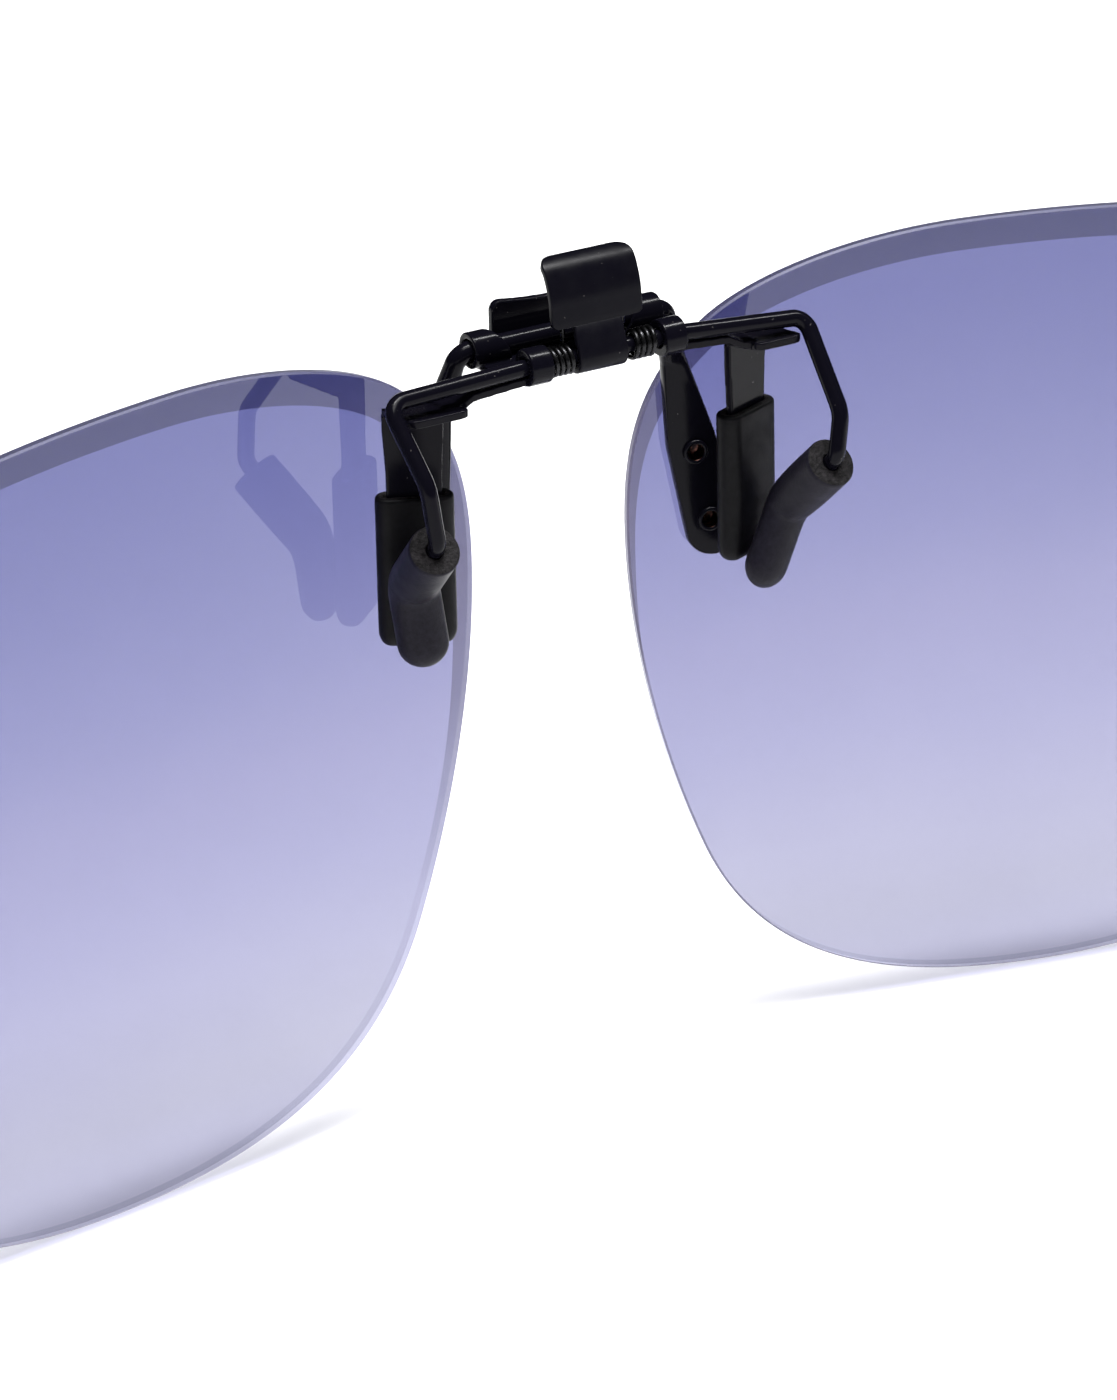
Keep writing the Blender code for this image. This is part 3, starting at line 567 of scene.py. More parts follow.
def lens_outline():
    """The lens shape from the nose up over the top, down the temple, and back under to the nose."""
    nose, temple = (NOSE_REACH, NOSE_HEIGHT), (TEMPLE_REACH, TEMPLE_HEIGHT)
    top, bottom = (TOP_REACH, LENS_HEIGHT), (BOTTOM_REACH, 0.0)
    brow, cheek = (10.16, 44.85), (9.84, 11.5)
    corner, jowl = (60.3, 42.3), (57.6, 9.6)
    s = CURVE_SCALE
    return (
        bezier(nose, (NOSE_REACH, 38.7), (6.7, 42.0), brow, 10 * s)
        + bezier(brow, (13.2, 47.3), (19.8, LENS_HEIGHT), top, 12 * s)
        + bezier(top, (37.0, LENS_HEIGHT), (51.5, 47.6), corner, 16 * s)
        + bezier(corner, (63.6, 39.2), (TEMPLE_REACH, 34.5), temple, 10 * s)
        + bezier(temple, (TEMPLE_REACH, 21.5), (62.6, 14.8), jowl, 10 * s)
        + bezier(jowl, (52.0, 3.7), (43.8, 0.0), bottom, 14 * s)
        + bezier(bottom, (21.9, 0.0), (13.5, 2.7), cheek, 14 * s)
        + bezier(cheek, (7.97, 16.0), (NOSE_REACH, 24.2), nose, 12 * s)
    )


def inset(outline, distance):
    """The outline moved inwards."""
    found = []
    count = len(outline)
    for k, (s, z) in enumerate(outline):
        before, after = outline[k - 1], outline[(k + 1) % count]
        along = Vector((after[0] - before[0], after[1] - before[1])).normalized()
        found.append((s + along.y * distance, z - along.x * distance))
    return found


def facet_edge(reach, height):
    """Where the front facet meets the front face: lower and further in than the lens edge."""
    share = blend(height, FACET_FADE_LOW, FACET_FADE_HIGH)
    inward = (TOP_REACH - reach) / (TOP_REACH - NOSE_REACH)
    return reach + share * FACET_INSET * max(-1.0, min(1.0, inward)), height - share * FACET_DROP


def rivet_reach(height):
    share = (PADDLE_TOP - height) / (PADDLE_TOP - PADDLE_END)
    return PADDLE_TOP_REACH + share * (PADDLE_END_REACH - PADDLE_TOP_REACH)


def rivet_centre(height):
    return on_lens(rivet_reach(height), height, 0.0)


def rivet_holes(side):
    """Cutters for one side's two holes, through the lens and the paddle behind it."""
    low = -PADDLE_GAP - PADDLE_THICKNESS - CUTTER_MARGIN
    high = LENS_THICKNESS + CUTTER_MARGIN
    profile = ((RIVET_HOLE, low), (RIVET_HOLE, high))
    return [
        raw_object("cutter", *on_side(side, *turned(profile, rivet_centre(height), LENS_NORMAL)))
        for height in RIVET_HEIGHTS.values()
    ]


def make_lens(word, side, materials):
    """A flat sheet with a facet along the top of its front face, broken edges and a polished rim."""
    outline = lens_outline()
    edge_out = LENS_THICKNESS - FACET_DEPTH
    back = [on_lens(s, z, 0.0) for s, z in inset(outline, EDGE_BREAK)]
    rim_back = [on_lens(s, z, EDGE_BREAK) for s, z in outline]
    rim_front = [on_lens(s, z, edge_out) for s, z in outline]
    front = [on_lens(*facet_edge(s, z), LENS_THICKNESS) for s, z in inset(outline, EDGE_BREAK)]
    count = len(outline)

    def index(face):
        """Facet, rim and back corner in turn, then the two faces."""
        return face // count + 1 if face < 3 * count else 0

    shape = on_side(side, *loft([front, rim_front, rim_back, back]))
    lens = raw_object(f"{word}_lens_sheet", *shape, materials, index)
    for helper in rivet_holes(side):
        combine(lens, "DIFFERENCE", helper)
    finish(lens, f"{word}_lens", "lenses", 8.0)


# ---- lens bridge


def flat_ring(centre, across, along, half_width, half_thickness, squareness):
    """A cross-section that goes from ELLIPSE to ROUNDED_BAR as its squareness grows."""
    found = []
    for k in range(PADDLE_SIDES):
        angle = 2 * math.pi * k / PADDLE_SIDES
        c, s = math.cos(angle), math.sin(angle)
        u = math.copysign(abs(c) ** (2 / squareness), c) * half_width
        v = math.copysign(abs(s) ** (2 / squareness), s) * half_thickness
        found.append(centre + across * u + along * v)
    return found


def paddle_half_width(height):
    """Rod, then a short neck, then an even taper out to the full paddle."""
    narrowing = PADDLE_NECK_HALF_WIDTH - ROD_RADIUS
    neck = blend(-height, -PADDLE_TOP - NECK_LEAD, -PADDLE_TOP) * narrowing
    share = max(0.0, min(1.0, (PADDLE_TOP - height) / (PADDLE_TOP - PADDLE_FULL)))
    return ROD_RADIUS + neck + share * (PADDLE_HALF_WIDTH - PADDLE_NECK_HALF_WIDTH)


def flip_reach(side, value):
    """Reach from the middle on one side of the flip hinge, which sits a little to the left."""
    return value + side * FLIP_OFFSET


def bridge_path(side):
    """The middle line from the centre of the rod to the paddle's end, as if on the right."""
    middle = -PADDLE_GAP - PADDLE_THICKNESS / 2
    top = on_lens(PADDLE_TOP_REACH, PADDLE_TOP, middle)
    end = on_lens(PADDLE_END_REACH, PADDLE_END, middle)
    shoulder = Vector((flip_reach(side, ROD_SHOULDER), FLIP_AXIS.y, FLIP_HEIGHT))
    path = rounded_path((FLIP_AXIS, shoulder, top, end), (0, *ROD_BENDS))
    start = path[-2]
    eased = [math.sin(math.pi / 2 * (k + 1) / PADDLE_STEPS) for k in range(PADDLE_STEPS)]
    return path[:-1] + [start.lerp(end, e) for e in eased]


def bridge_rings(side):
    """Cross-sections along one half of the bridge: round rod, flattened paddle, rounded end."""
    path = bridge_path(side)
    found = []
    for centre, direction in zip(path, tangents(path)):
        facing = blend(-centre.z, -PADDLE_TOP - TURN_LEAD, -PADDLE_TOP)
        along = Vector((0, -1, 0)).lerp(-LENS_NORMAL, facing)
        along = (along - direction * along.dot(direction)).normalized()
        flatness = blend(-centre.z, -PADDLE_TOP - FLATTEN_LEAD, -PADDLE_FULL)
        half_width = paddle_half_width(centre.z)
        to_end = (centre - path[-1]).length
        if to_end < PADDLE_HALF_WIDTH:
            square = PADDLE_HALF_WIDTH**2 - (PADDLE_HALF_WIDTH - to_end) ** 2
            half_width = math.sqrt(max(LEAST_SQUARE, square))
        half_thickness = ROD_RADIUS + (PADDLE_THICKNESS / 2 - ROD_RADIUS) * flatness
        across = along.cross(direction)
        squareness = ELLIPSE + (ROUNDED_BAR - ELLIPSE) * flatness
        found.append(flat_ring(centre, across, along, half_width, half_thickness, squareness))
    return found


def make_bridge(metal):
    right = bridge_rings(1)
    other = reversed(bridge_rings(-1)[1:])
    left = [[Vector((-p.x, p.y, p.z)) for p in section] for section in other]
    bridge = raw_object("bent_rod_bridge", *loft(left + right), [metal])
    for side in (-1, 1):
        for helper in rivet_holes(side):
            combine(bridge, "DIFFERENCE", helper)
    finish(bridge, "lens_bridge", "lenses")


# ---- rivets and washers


def rivet_hollow(flange_face):
    """The bore's end as (radius, distance): its floor, then its corner, then its wall."""
    bore = RIVET_ROLL - RIVET_LIP
    corner, corner_depth = RIVET_BORE_CORNER
    return [
        (RIVET_FLOOR, flange_face + RIVET_FLOOR_DEPTH),
        (bore - corner, flange_face + corner_depth),
        (bore, flange_face + RIVET_BORE_DEPTH),
    ]


def rivet_outside(flange_face, head_face):
    """The rest of a rivet's profile: rolled lip, shank and domed head."""
    found = []
    for c, s in arc((0, 0), 1, 0, 180, 10):
        found.append((RIVET_ROLL - RIVET_LIP * c, flange_face - RIVET_LIP_SEAT - RIVET_LIP_HEIGHT * s))
    found.append((RIVET_ROLL + RIVET_LIP, flange_face))
    found += [(RIVET_SHANK, flange_face), (RIVET_SHANK, head_face)]
    for degrees in range(0, 84, 12):
        angle = math.radians(degrees)
        found.append((RIVET_HEAD * math.cos(angle), head_face + RIVET_DOME * math.sin(angle)))
    return found


def make_rivet(word, side, place, height, metal, bore):
    """A tubular rivet: rolled lip behind the paddle, round head in front of the washer."""
    flange_face = -PADDLE_GAP - PADDLE_THICKNESS - FIT_GAP
    head_face = LENS_THICKNESS + WASHER_THICKNESS + 2 * FIT_GAP
    hollow = rivet_hollow(flange_face)
    profile = hollow + rivet_outside(flange_face, head_face)
    shape = on_side(side, *turned(profile, rivet_centre(height), LENS_NORMAL))
    inner = (len(hollow) + 2) * ROUND_SIDES
    floor = len(shape[1]) - 2
    name = f"{word}_{place}_tube_rivet"
    rivet = raw_object(name, *shape, [metal, bore], lambda f: 1 if f < inner or f == floor else 0)
    finish(rivet, f"{word}_{place}_rivet", "lenses")


def make_washer(word, side, place, height, material):
    """A flat ring between the lens and the rivet's head, with its front corners broken."""
    low = LENS_THICKNESS + FIT_GAP
    high, r = low + WASHER_THICKNESS, WASHER_CORNER
    profile = [(RIVET_HOLE, low), (RIVET_HOLE, high - r), (RIVET_HOLE + r, high)]
    profile += [(WASHER_RADIUS - r, high), (WASHER_RADIUS, high - r), (WASHER_RADIUS, low)]
    shape = on_side(side, *turned(profile[::-1], rivet_centre(height), LENS_NORMAL, cyclic=True))
    washer = raw_object(f"{word}_{place}_nylon_washer", *shape, [material])
    finish(washer, f"{word}_{place}_washer", "lenses")


# ---- bracket


def box(x, y, z):
    outline = ((x[0], y[0]), (x[1], y[0]), (x[1], y[1]), (x[0], y[1]))
    return extruded(outline, lambda a, b: Vector((a, b, z[0])), lambda a, b: Vector((a, b, z[1])))


def round_bar(axis_point, radius, inner, outer):
    return turned(((radius, inner), (radius, outer)), axis_point, Vector((1, 0, 0)), 2 * ROUND_SIDES)


def barrel_shape(side):
    """A barrel before its bore: square outer end, and an inner end cut on the slant."""
    axes = Vector((0, 1, 0)), Vector((0, 0, 1))
    inner_ring = []
    for p in ring(FLIP_AXIS, *axes, BARREL_RADIUS, 2 * ROUND_SIDES):
        lean = (p.y - FLIP_AXIS.y + p.z - FLIP_AXIS.z) / BARREL_RADIUS
        inner_ring.append(p + Vector((flip_reach(side, BARREL_INNER) + BARREL_SLANT * lean, 0, 0)))
    outer = FLIP_AXIS + Vector((flip_reach(side, BARREL_OUTER), 0, 0))
    return loft([inner_ring, ring(outer, *axes, BARREL_RADIUS, 2 * ROUND_SIDES)])


def plate_shapes():
    """The middle plate and the front tab that stands on its front edge."""
    top = PLATE_BOTTOM + SHEET
    plate = box(
        (-PLATE_HALF_WIDTH, PLATE_HALF_WIDTH),
        (depth(PLATE_BACK_DEPTH), depth(PLATE_FRONT_DEPTH)),
        (PLATE_BOTTOM, top),
    )
    tab_front, tab_back = depth(FRONT_TAB_DEPTH), depth(FRONT_TAB_DEPTH + SHEET)
    lip = box(
        (-FRONT_TAB_NECK, FRONT_TAB_NECK),
        (depth(PLATE_FRONT_DEPTH) - SHEET, tab_front),
        (PLATE_BOTTOM, top),
    )
    wide, round_at = FRONT_TAB_HALF_WIDTH, FRONT_TAB_TOP - FRONT_TAB_CORNER
    outline = [(FRONT_TAB_NECK, PLATE_BOTTOM), (FRONT_TAB_NECK, FRONT_TAB_SHOULDER)]
    outline += [(wide, FRONT_TAB_SHOULDER)]
    outline += arc((wide - FRONT_TAB_CORNER, round_at), FRONT_TAB_CORNER, 0, 90, 10)
    dip_half = wide - FRONT_TAB_CORNER
    for k in range(1, 12):
        x = dip_half * (1 - k / 12)
        outline.append((x, FRONT_TAB_TOP - FRONT_TAB_DIP * (1 - (x / dip_half) ** 2)))
    outline += [(0.0, FRONT_TAB_TOP - FRONT_TAB_DIP)]
    outline += [(-x, z) for x, z in reversed(outline[:-1])]
    tab = extruded(
        outline,
        lambda x, z: Vector((x, tab_front, z)),
        lambda x, z: Vector((x, tab_back, z)),
    )
    return [plate, lip, tab]


def arm_shape():
    """The strip under the clip wire, seen from the front, from the knuckle down to the flange."""
    knee = PLATE_BOTTOM + ARM_RISE
    under = (
        (KNUCKLE_INNER + ARM_INSET, knee),
        (ARM_LEVEL_END, knee - ARM_FALL),
        (ARM_LEVEL_END + ARM_SLOPE, FLANGE_BOTTOM),
        (ARM_LEVEL_END + ARM_LAP, FLANGE_BOTTOM),
    )
    outline = under + tuple((x, z + SHEET) for x, z in reversed(under))
    near, far = depth(ARM_BACK_DEPTH), depth(ARM_FRONT_DEPTH)
    return extruded(outline, lambda x, z: Vector((x, far, z)), lambda x, z: Vector((x, near, z)))


def leg_point(along, outward, height):
    """A point on the right leg: along its width, in front of its middle, and height."""
    c, s = math.cos(LEG_TURN), math.sin(LEG_TURN)
    x = LEG_REACH + along * c - outward * s
    y = depth(LEG_DEPTH) + along * s + outward * c
    return Vector((x, y, height))


def flange_bottom(y):
    """Height of the flange's underside, which falls away gently towards the front."""
    return FLANGE_BOTTOM - FLANGE_FALL * (y - depth(FLANGE_BACK_DEPTH))


def flange_shape(side):
    """The arm's level end from above: round behind, slanted in front where the leg folds down."""
    near = depth(FLANGE_BACK_DEPTH)
    r = FLANGE_CORNER
    outline = arc((FLANGE_INNER[side] + 2 * r, near + r), r, 180, 270, 8)
    outline += arc((FLANGE_OUTER - r, near + r), r, 270, 360, 8)
    inner, outer = leg_point(-LEG_TOP_WIDTH / 2, 0, 0), leg_point(LEG_TOP_WIDTH / 2, 0, 0)
    outline += [(outer.x, outer.y), (inner.x, inner.y), (inner.x, near + 3 * r)]
    return extruded(
        outline,
        lambda x, y: Vector((x, y, flange_bottom(y))),
        lambda x, y: Vector((x, y, flange_bottom(y) + SHEET)),
    )


def leg_shape():
    """A leg seen along its face: broken corners above, a slight taper, a round end."""
    wide, narrow = LEG_TOP_WIDTH / 2, LEG_WIDTH / 2
    top = flange_bottom(depth(LEG_DEPTH)) + SHEET
    outline = [(wide - LEG_CORNER, top), (-wide + LEG_CORNER, top)]
    outline += [(-wide, top - LEG_CORNER), (-wide, top - LEG_SHOULDER), (-narrow, LEG_TAPER_END)]
    outline += [(x, z + LEG_END) for x, z in arc((0, narrow), narrow, 180, 360, 16)]
    outline += [(narrow, LEG_TAPER_END), (wide, top - LEG_SHOULDER), (wide, top - LEG_CORNER)]
    half = SHEET / 2
    return extruded(outline, lambda a, z: leg_point(a, half, z), lambda a, z: leg_point(a, -half, z))


def side_shapes(side):
    """Every overlapping solid of one side of the bracket."""
    knuckle = round_bar(CLIP_AXIS, KNUCKLE_RADIUS, KNUCKLE_INNER, KNUCKLE_OUTER)
    lug = box(
        (KNUCKLE_INNER, KNUCKLE_OUTER),
        (CLIP_AXIS.y, depth(PLATE_BACK_DEPTH) + SHEET),
        (PLATE_BOTTOM + LUG_STEP, PLATE_BOTTOM + SHEET - LUG_STEP),
    )
    shapes = (barrel_shape(side), knuckle, lug, arm_shape(), flange_shape(side), leg_shape())
    return [on_side(side, *shape) for shape in shapes]


def make_bracket(metal):
    """The bent sheet, joined into one skin and eased so that its cut edges and folds are soft."""
    shapes = plate_shapes() + side_shapes(-1) + side_shapes(1)
    bracket = raw_object("bent_sheet_bracket", *shapes[0], [metal])
    for shape in shapes[1:]:
        combine(bracket, "UNION", raw_object("helper", *shape))
    for side in (-1, 1):
        for axis_point, radius in ((FLIP_AXIS, BARREL_BORE), (CLIP_AXIS, KNUCKLE_BORE)):
            bore = on_side(side, *round_bar(axis_point, radius, BORE_INNER, BORE_OUTER))
            combine(bracket, "DIFFERENCE", raw_object("helper", *bore))
    skin = bracket.modifiers.new("skin", "REMESH")
    skin.mode = "VOXEL"
    skin.voxel_size = VOXEL
    ease = bracket.modifiers.new("ease", "SMOOTH")
    ease.factor = 0.5
    ease.iterations = SMOOTH_PASSES
    bake(bracket)
    finish(bracket, "hinge_bracket", "bracket", 70.0)


# ---- rubber parts


def leg_section(height, half_width, half_thickness):
    """A stadium-shaped ring around the leg."""
    found = []
    flat = half_width - half_thickness
    for centre, start in ((flat, -90), (-flat, 90)):
        for a, b in arc((centre, 0), half_thickness, start, start + 180, 12):
            found.append(leg_point(a, b, height))
    return found


def sleeve_rings(side):
    """Cross-sections from the bottom of the hole up, over the rim and down the outside."""
    wide, thick = SLEEVE_WIDTH / 2, SLEEVE_THICKNESS / 2
    top, bottom = SLEEVE_TOP[side], SLEEVE_TOP[side] - SLEEVE_LENGTH
    hole_wide, hole_thick = LEG_WIDTH / 2 + 2 * SLEEVE_CLEARANCE, SHEET / 2 + SLEEVE_CLEARANCE
    found = [leg_section(LEG_END - 2 * SLEEVE_CLEARANCE, hole_wide, hole_thick)]
    found.append(leg_section(top - SLEEVE_MOUTH_DEPTH, hole_wide, hole_thick))
    found.append(leg_section(top, hole_wide + SLEEVE_MOUTH_BEVEL, hole_thick + SLEEVE_MOUTH_BEVEL))
    for k in range(6):
        angle = math.radians(18 * k)
        shrink = SLEEVE_RIM * (1 - math.sin(angle))
        height = top - SLEEVE_RIM * (1 - math.cos(angle))
        found.append(leg_section(height, wide - shrink, thick - shrink))
    for k in range(1, 20):
        height = top - SLEEVE_RIM - (top - SLEEVE_RIM - bottom - SLEEVE_ROUNDING) * k / 20
        found.append(leg_section(height, wide, thick))
    for k in range(10):
        angle = math.radians(9.5 * k)
        shrink = (1 - math.cos(angle)) * SLEEVE_TUCK * thick
        height = bottom + SLEEVE_ROUNDING * (1 - math.sin(angle))
        found.append(leg_section(height, wide - shrink, thick - shrink))
    return found


def make_sleeve(word, side, rubber, cut_rubber):
    """A flat rubber tube on the leg, open above, closed and rounded below."""
    rings = sleeve_rings(side)
    shape = on_side(side, *loft(rings))
    mouth = 3 * len(rings[0])
    name = f"{word}_flat_sleeve"
    sleeve = raw_object(name, *shape, [rubber, cut_rubber], lambda f: 1 if f < mouth else 0)
    finish(sleeve, f"{word}_leg_sleeve", "bracket", 60.0)


def wire_corners(side):
    """One half of the wire's route, as if on the right, and the bend radius at each corner."""
    corners = [Vector((x, depth(behind), z)) for x, behind, z, _ in WIRE_ROUTES[side]]
    return corners, [radius for *_, radius in WIRE_ROUTES[side]]


def tip_path(side):
    """The middle line of a rubber tip, from its open end down, and the wire's end inside it."""
    corners, radii = wire_corners(side)
    bend, kink, foot = corners[-3:]
    open_end = bend + (kink - bend).normalized() * TIP_BELOW_BEND
    foot = foot + (foot - kink).normalized() * TIP_BEYOND_WIRE
    return dense(rounded_path((open_end, kink, foot), (0, radii[-2])), TIP_STEP), corners[-1]


def pressed(section, centre):
    """A tip's ring, flattened where it bears on the sleeve."""
    keep = 1 - (1 - TIP_PRESSED) * blend(-centre.z, -TIP_PRESSED_FROM, -TIP_PRESSED_BELOW)
    facing = leg_point(0, 1, 0) - leg_point(0, 0, 0)
    return [p - facing * (p - centre).dot(facing) * (1 - keep) for p in section]


def make_tip(word, side, rubber, cut_rubber):
    """A thick rubber tube on the wire's end, with a cut mouth above and a dome below."""
    path, wire_end = tip_path(side)
    axes = frames(path)
    hole = [p for p in path if p.z > wire_end.z]
    rings = [ring(p, u, v, TIP_BORE) for p, (u, v) in zip(hole, axes)][::-1]
    (u, v), down = axes[0], (path[1] - path[0]).normalized()
    rings += [ring(path[0] + down * below, u, v, radius) for below, radius in TIP_MOUTH]
    mouth = len(hole) + 2
    rings += [pressed(ring(p, u, v, TIP_RADIUS), p) for p, (u, v) in zip(path[1:], axes[1:])]
    (u, v), down = axes[-1], (path[-1] - path[-2]).normalized()
    for k in range(1, 12):
        angle = math.radians(7.6 * k)
        centre = path[-1] + down * TIP_RADIUS * math.sin(angle)
        rings.append(pressed(ring(centre, u, v, TIP_RADIUS * math.cos(angle)), centre))
    shape = on_side(side, *loft(rings))
    cut_faces = range((len(hole) - 1) * ROUND_SIDES, mouth * ROUND_SIDES)
    name = f"{word}_tube_tip"
    tip = raw_object(name, *shape, [rubber, cut_rubber], lambda f: 1 if f in cut_faces else 0)
    finish(tip, f"{word}_rubber_tip", "clip", 60.0)


# ---- clip


def make_wire(metal):
    corners, radii = wire_corners(1)
    left = [Vector((-p.x, p.y, p.z)) for p in reversed(wire_corners(-1)[0])]
    path = rounded_path(left + corners, radii[::-1] + radii)
    wire = raw_object("bent_clip_wire", *swept(path, WIRE_RADIUS), [metal])
    finish(wire, "clip_wire", "clip", 60.0)


def smooth_line(points, steps):
    """A Catmull-Rom curve through the points."""
    ends = [points[0]] + points + [points[-1]]
    found = []
    for p0, p1, p2, p3 in zip(ends, ends[1:], ends[2:], ends[3:]):
        for k in range(steps):
            t = k / steps
            first = (p2 - p0) * t
            second = (2 * p0 - 5 * p1 + 4 * p2 - p3) * t * t
            third = (3 * p1 - p0 - 3 * p2 + p3) * t**3
            found.append(0.5 * (2 * p1 + first + second + third))
    return found + [points[-1]]


def thumb_profile():
    """The tab's middle line seen from the side, top first, relative to the clip axis."""
    upper = [(1.7, 5.52), (1.22, 5.42), (0.75, 5.08), (0.4, 4.45), (0.12, 3.65), (0.03, 3.0)]
    upper = smooth_line([Vector((0, y, z)) for y, z in upper], 8)
    lower = [(-0.08, THUMB_SHOULDER + 0.02), (-0.1, THUMB_SHOULDER - 0.02), (-0.36, 1.1), (-0.62, 0.6)]
    curl = arc((0, 0), THUMB_CURL, 168, 425, 40)
    step_down = [Vector((0, -0.05, THUMB_SHOULDER + 0.4)), Vector((0, -0.065, THUMB_SHOULDER + 0.2))]
    return upper + step_down + [Vector((0, y, z)) for y, z in lower + curl]


def thumb_half_width(height, from_top):
    """Round top corners, the wide plate with smaller lower corners, then the neck."""
    for distance, radius in ((from_top, THUMB_CORNER), (height - THUMB_SHOULDER, THUMB_LOWER_CORNER)):
        if 0 <= distance < radius:
            return THUMB_HALF_WIDTH - radius + math.sqrt(radius**2 - (radius - distance) ** 2)
    return THUMB_HALF_WIDTH if height > THUMB_SHOULDER else THUMB_NECK


def soft_rectangle(centre, across, out, half_width, half_thickness):
    """A sheet's cross-section with eased edges."""
    r = THUMB_EDGE
    found = []
    for sx, sy, start in ((1, 1, 0), (-1, 1, 90), (-1, -1, 180), (1, -1, 270)):
        corner = (sx * (half_width - r), sy * (half_thickness - r))
        found += [centre + across * a + out * b for a, b in arc(corner, r, start, start + 90, 4)]
    return found


def make_thumb_tab(metal):
    """A curled sheet with soft edges, from its top down to the crimp round the wire."""
    profile = thumb_profile()
    travelled, sections = THUMB_FIRST, []
    for k, (point, direction) in enumerate(zip(profile, tangents(profile))):
        if k:
            travelled += (point - profile[k - 1]).length
        half = thumb_half_width(point.z, travelled)
        out = direction.cross(Vector((1, 0, 0))).normalized()
        centre = CLIP_AXIS + point + Vector((THUMB_OFFSET, 0, 0))
        sections.append(soft_rectangle(centre, Vector((1, 0, 0)), out, half, THUMB_SHEET / 2))
    tab = raw_object("curled_thumb_tab", *loft(sections), [metal])
    finish(tab, "thumb_tab", "clip", 50.0)


def make_spring(word, span, steel):
    """Foot on the bracket plate, coil around the wire, arm up behind the thumb tab."""
    start, end = span
    first, last = SPRING_FIRST_ANGLE, 360 * SPRING_TURNS
    steps = COIL_STEPS * SPRING_TURNS
    coil = []
    for k in range(steps + 1):
        angle = math.radians(first + (last - first) * k / steps)
        offset = Vector((0, math.cos(angle), math.sin(angle))) * SPRING_COIL
        coil.append(CLIP_AXIS + offset + Vector((start + (end - start) * k / steps, 0, 0)))
    tangent = Vector((0, math.sin(math.radians(first)), -math.cos(math.radians(first))))
    path = [coil[0] + tangent * SPRING_FOOT] + coil + [coil[-1] + SPRING_ARM]
    spring = raw_object(f"{word}_coil_spring", *swept(path, SPRING_WIRE, 12), [steel])
    finish(spring, f"{word}_torsion_spring", None, 60.0)
    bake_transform(spring)


# ---- studio


def make_camera():
    """A long lens behind the object and above it, on the wearer's left."""
    a, e, r = CAMERA_AZIMUTH, CAMERA_ELEVATION, CAMERA_ROLL
    back = Vector((math.sin(a) * math.cos(e), -math.cos(a) * math.cos(e), math.sin(e)))
    level = Vector((math.cos(a), math.sin(a), 0))
    upright = back.cross(level)
    right = level * math.cos(r) + upright * math.sin(r)
    up = upright * math.cos(r) - level * math.sin(r)
    place = (CAMERA_TARGET + back * CAMERA_DISTANCE) * MM
    data = bpy.data.cameras.new("camera")
    data.sensor_fit = "VERTICAL"
    data.sensor_height = CAMERA_SENSOR
    data.lens = CAMERA_LENS
    data.clip_start = 0.01
    camera = bpy.data.objects.new("camera", data)
    rows = [(right[k], up[k], back[k], place[k]) for k in range(3)]
    camera.matrix_world = Matrix(rows + [(0, 0, 0, 1)])
    bpy.context.scene.collection.objects.link(camera)
    bpy.context.scene.camera = camera


def make_softbox(name, place, size, watts, highlights_only=False):
    """A lamp overhead, facing straight down. With highlights_only it lights no diffuse surface."""
    data = bpy.data.lights.new(name, "AREA")
    data.shape = "RECTANGLE"
    data.size, data.size_y = size
    data.energy = watts
    lamp = bpy.data.objects.new(name, data)
    lamp.location = place
    lamp.visible_diffuse = not highlights_only
    bpy.context.scene.collection.objects.link(lamp)


def make_floor():
    """A wide pale floor, a little below the lenses."""
    low, r = -FLOOR_DROP, FLOOR_REACH
    points = [(-r, -r, low), (r, -r, low), (r, r, low), (-r, r, low)]
    mesh = bpy.data.meshes.new("floor")
    mesh.from_pydata(points, [], [(0, 1, 2, 3)])
    floor = bpy.data.objects.new("floor", mesh)
    bpy.context.scene.collection.objects.link(floor)
    s = Shader("floor_white")
    white = (FLOOR_WHITE, FLOOR_WHITE, FLOOR_WHITE, 1.0)
    mesh.materials.append(s.end(s.node("ShaderNodeBsdfDiffuse", Color=white)))


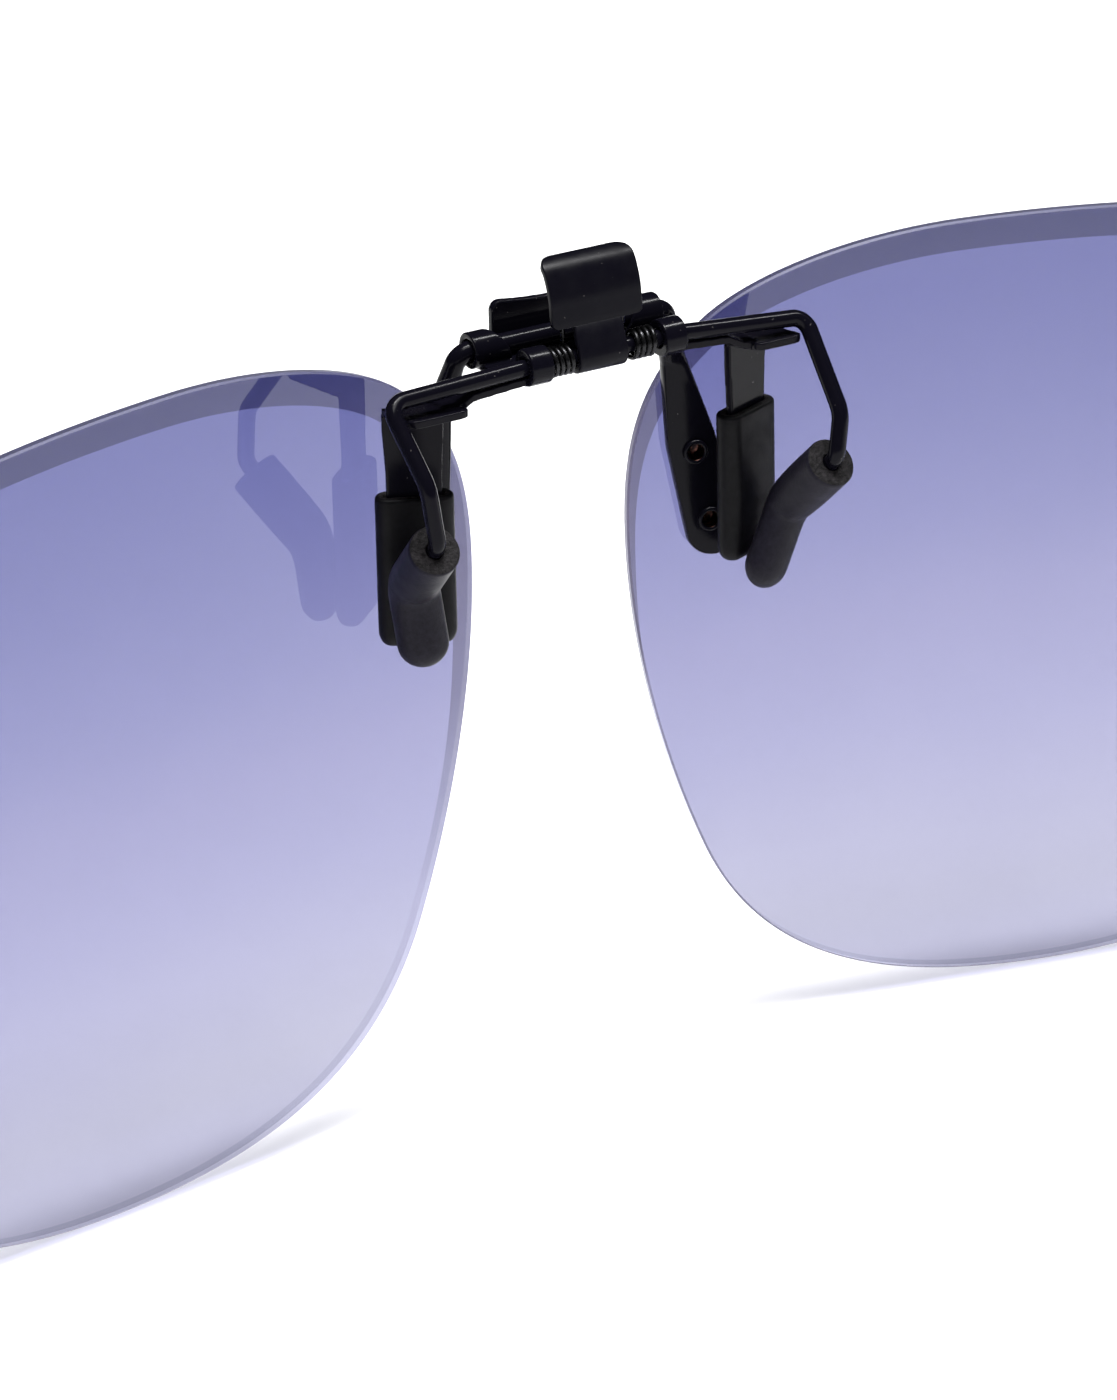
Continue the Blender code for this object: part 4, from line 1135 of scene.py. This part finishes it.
def make_world():
    """Even white light from all round, which doesn't show in reflections."""
    world = bpy.data.worlds.new("studio")
    world.use_nodes = True
    background = world.node_tree.nodes["Background"]
    background.inputs["Color"].default_value = (1.0, 1.0, 1.0, 1.0)
    background.inputs["Strength"].default_value = AMBIENT
    bpy.context.scene.world = world
    world.cycles_visibility.glossy = False


def make_studio():
    """A narrow key lamp, almost in the plane of both lenses, so that their shadows are thin.

    The softbox behind it fills in the shadow of the hinge, and the long strip only shows as a highlight.
    """
    make_camera()
    make_floor()
    make_world()
    make_softbox("key_lamp", KEY_PLACE, KEY_SIZE, KEY_WATTS)
    make_softbox("softbox", SOFTBOX_PLACE, SOFTBOX_SIZE, SOFTBOX_WATTS)
    make_softbox("highlight_strip", STRIP_PLACE, STRIP_SIZE, STRIP_WATTS, True)
    bpy.context.scene.view_settings.view_transform = "Standard"


# ---- assembly


def make_pieces():
    """Every material once, then every piece."""
    metal = black_metal("black_metal", METAL_ROUGHNESS)
    satin = black_metal("satin_metal", SATIN_ROUGHNESS)
    steel = spring_steel()
    cut_rubber = black_rubber("cut_rubber", *CUT_RUBBER)
    # Painted shade: the sleeves get a darker copy of the tips' rubber.
    painted_shade_sleeve_rubber = black_rubber("painted_shade_sleeve_rubber", *PAINTED_SHADE_SLEEVE_RUBBER)
    tip_rubber = black_rubber("tip_rubber", *TIP_RUBBER)
    # Painted light in the tint's lowest stops, painted shade in the facet, and painted edge light in the
    # back corner, as marked where the stops are set.
    sheet = [tinted("lens_tint_and_painted_light", TINT_AND_PAINTED_LIGHT), tinted("lens_facet_painted_shade", FACET_TINT_AND_PAINTED_SHADE)]
    sheet.append(tinted("lens_rim", EDGE_TINT, RIM_ROUGHNESS))
    sheet.append(tinted("lens_corner_painted_edge_light", CORNER_PAINTED_EDGE_LIGHT, RIM_ROUGHNESS))
    bore, washer = copper(), nylon()
    make_bracket(metal)
    make_bridge(metal)
    make_wire(metal)
    make_thumb_tab(satin)
    make_spring("left", LEFT_SPRING, steel)
    make_spring("right", RIGHT_SPRING, steel)
    for word, side in (("left", -1), ("right", 1)):
        make_lens(word, side, sheet)
        make_sleeve(word, side, painted_shade_sleeve_rubber, cut_rubber)
        make_tip(word, side, tip_rubber, cut_rubber)
        for place, height in RIVET_HEIGHTS.items():
            make_rivet(word, side, place, height, metal, bore)
            make_washer(word, side, place, height, washer)


make_studio()
make_pieces()
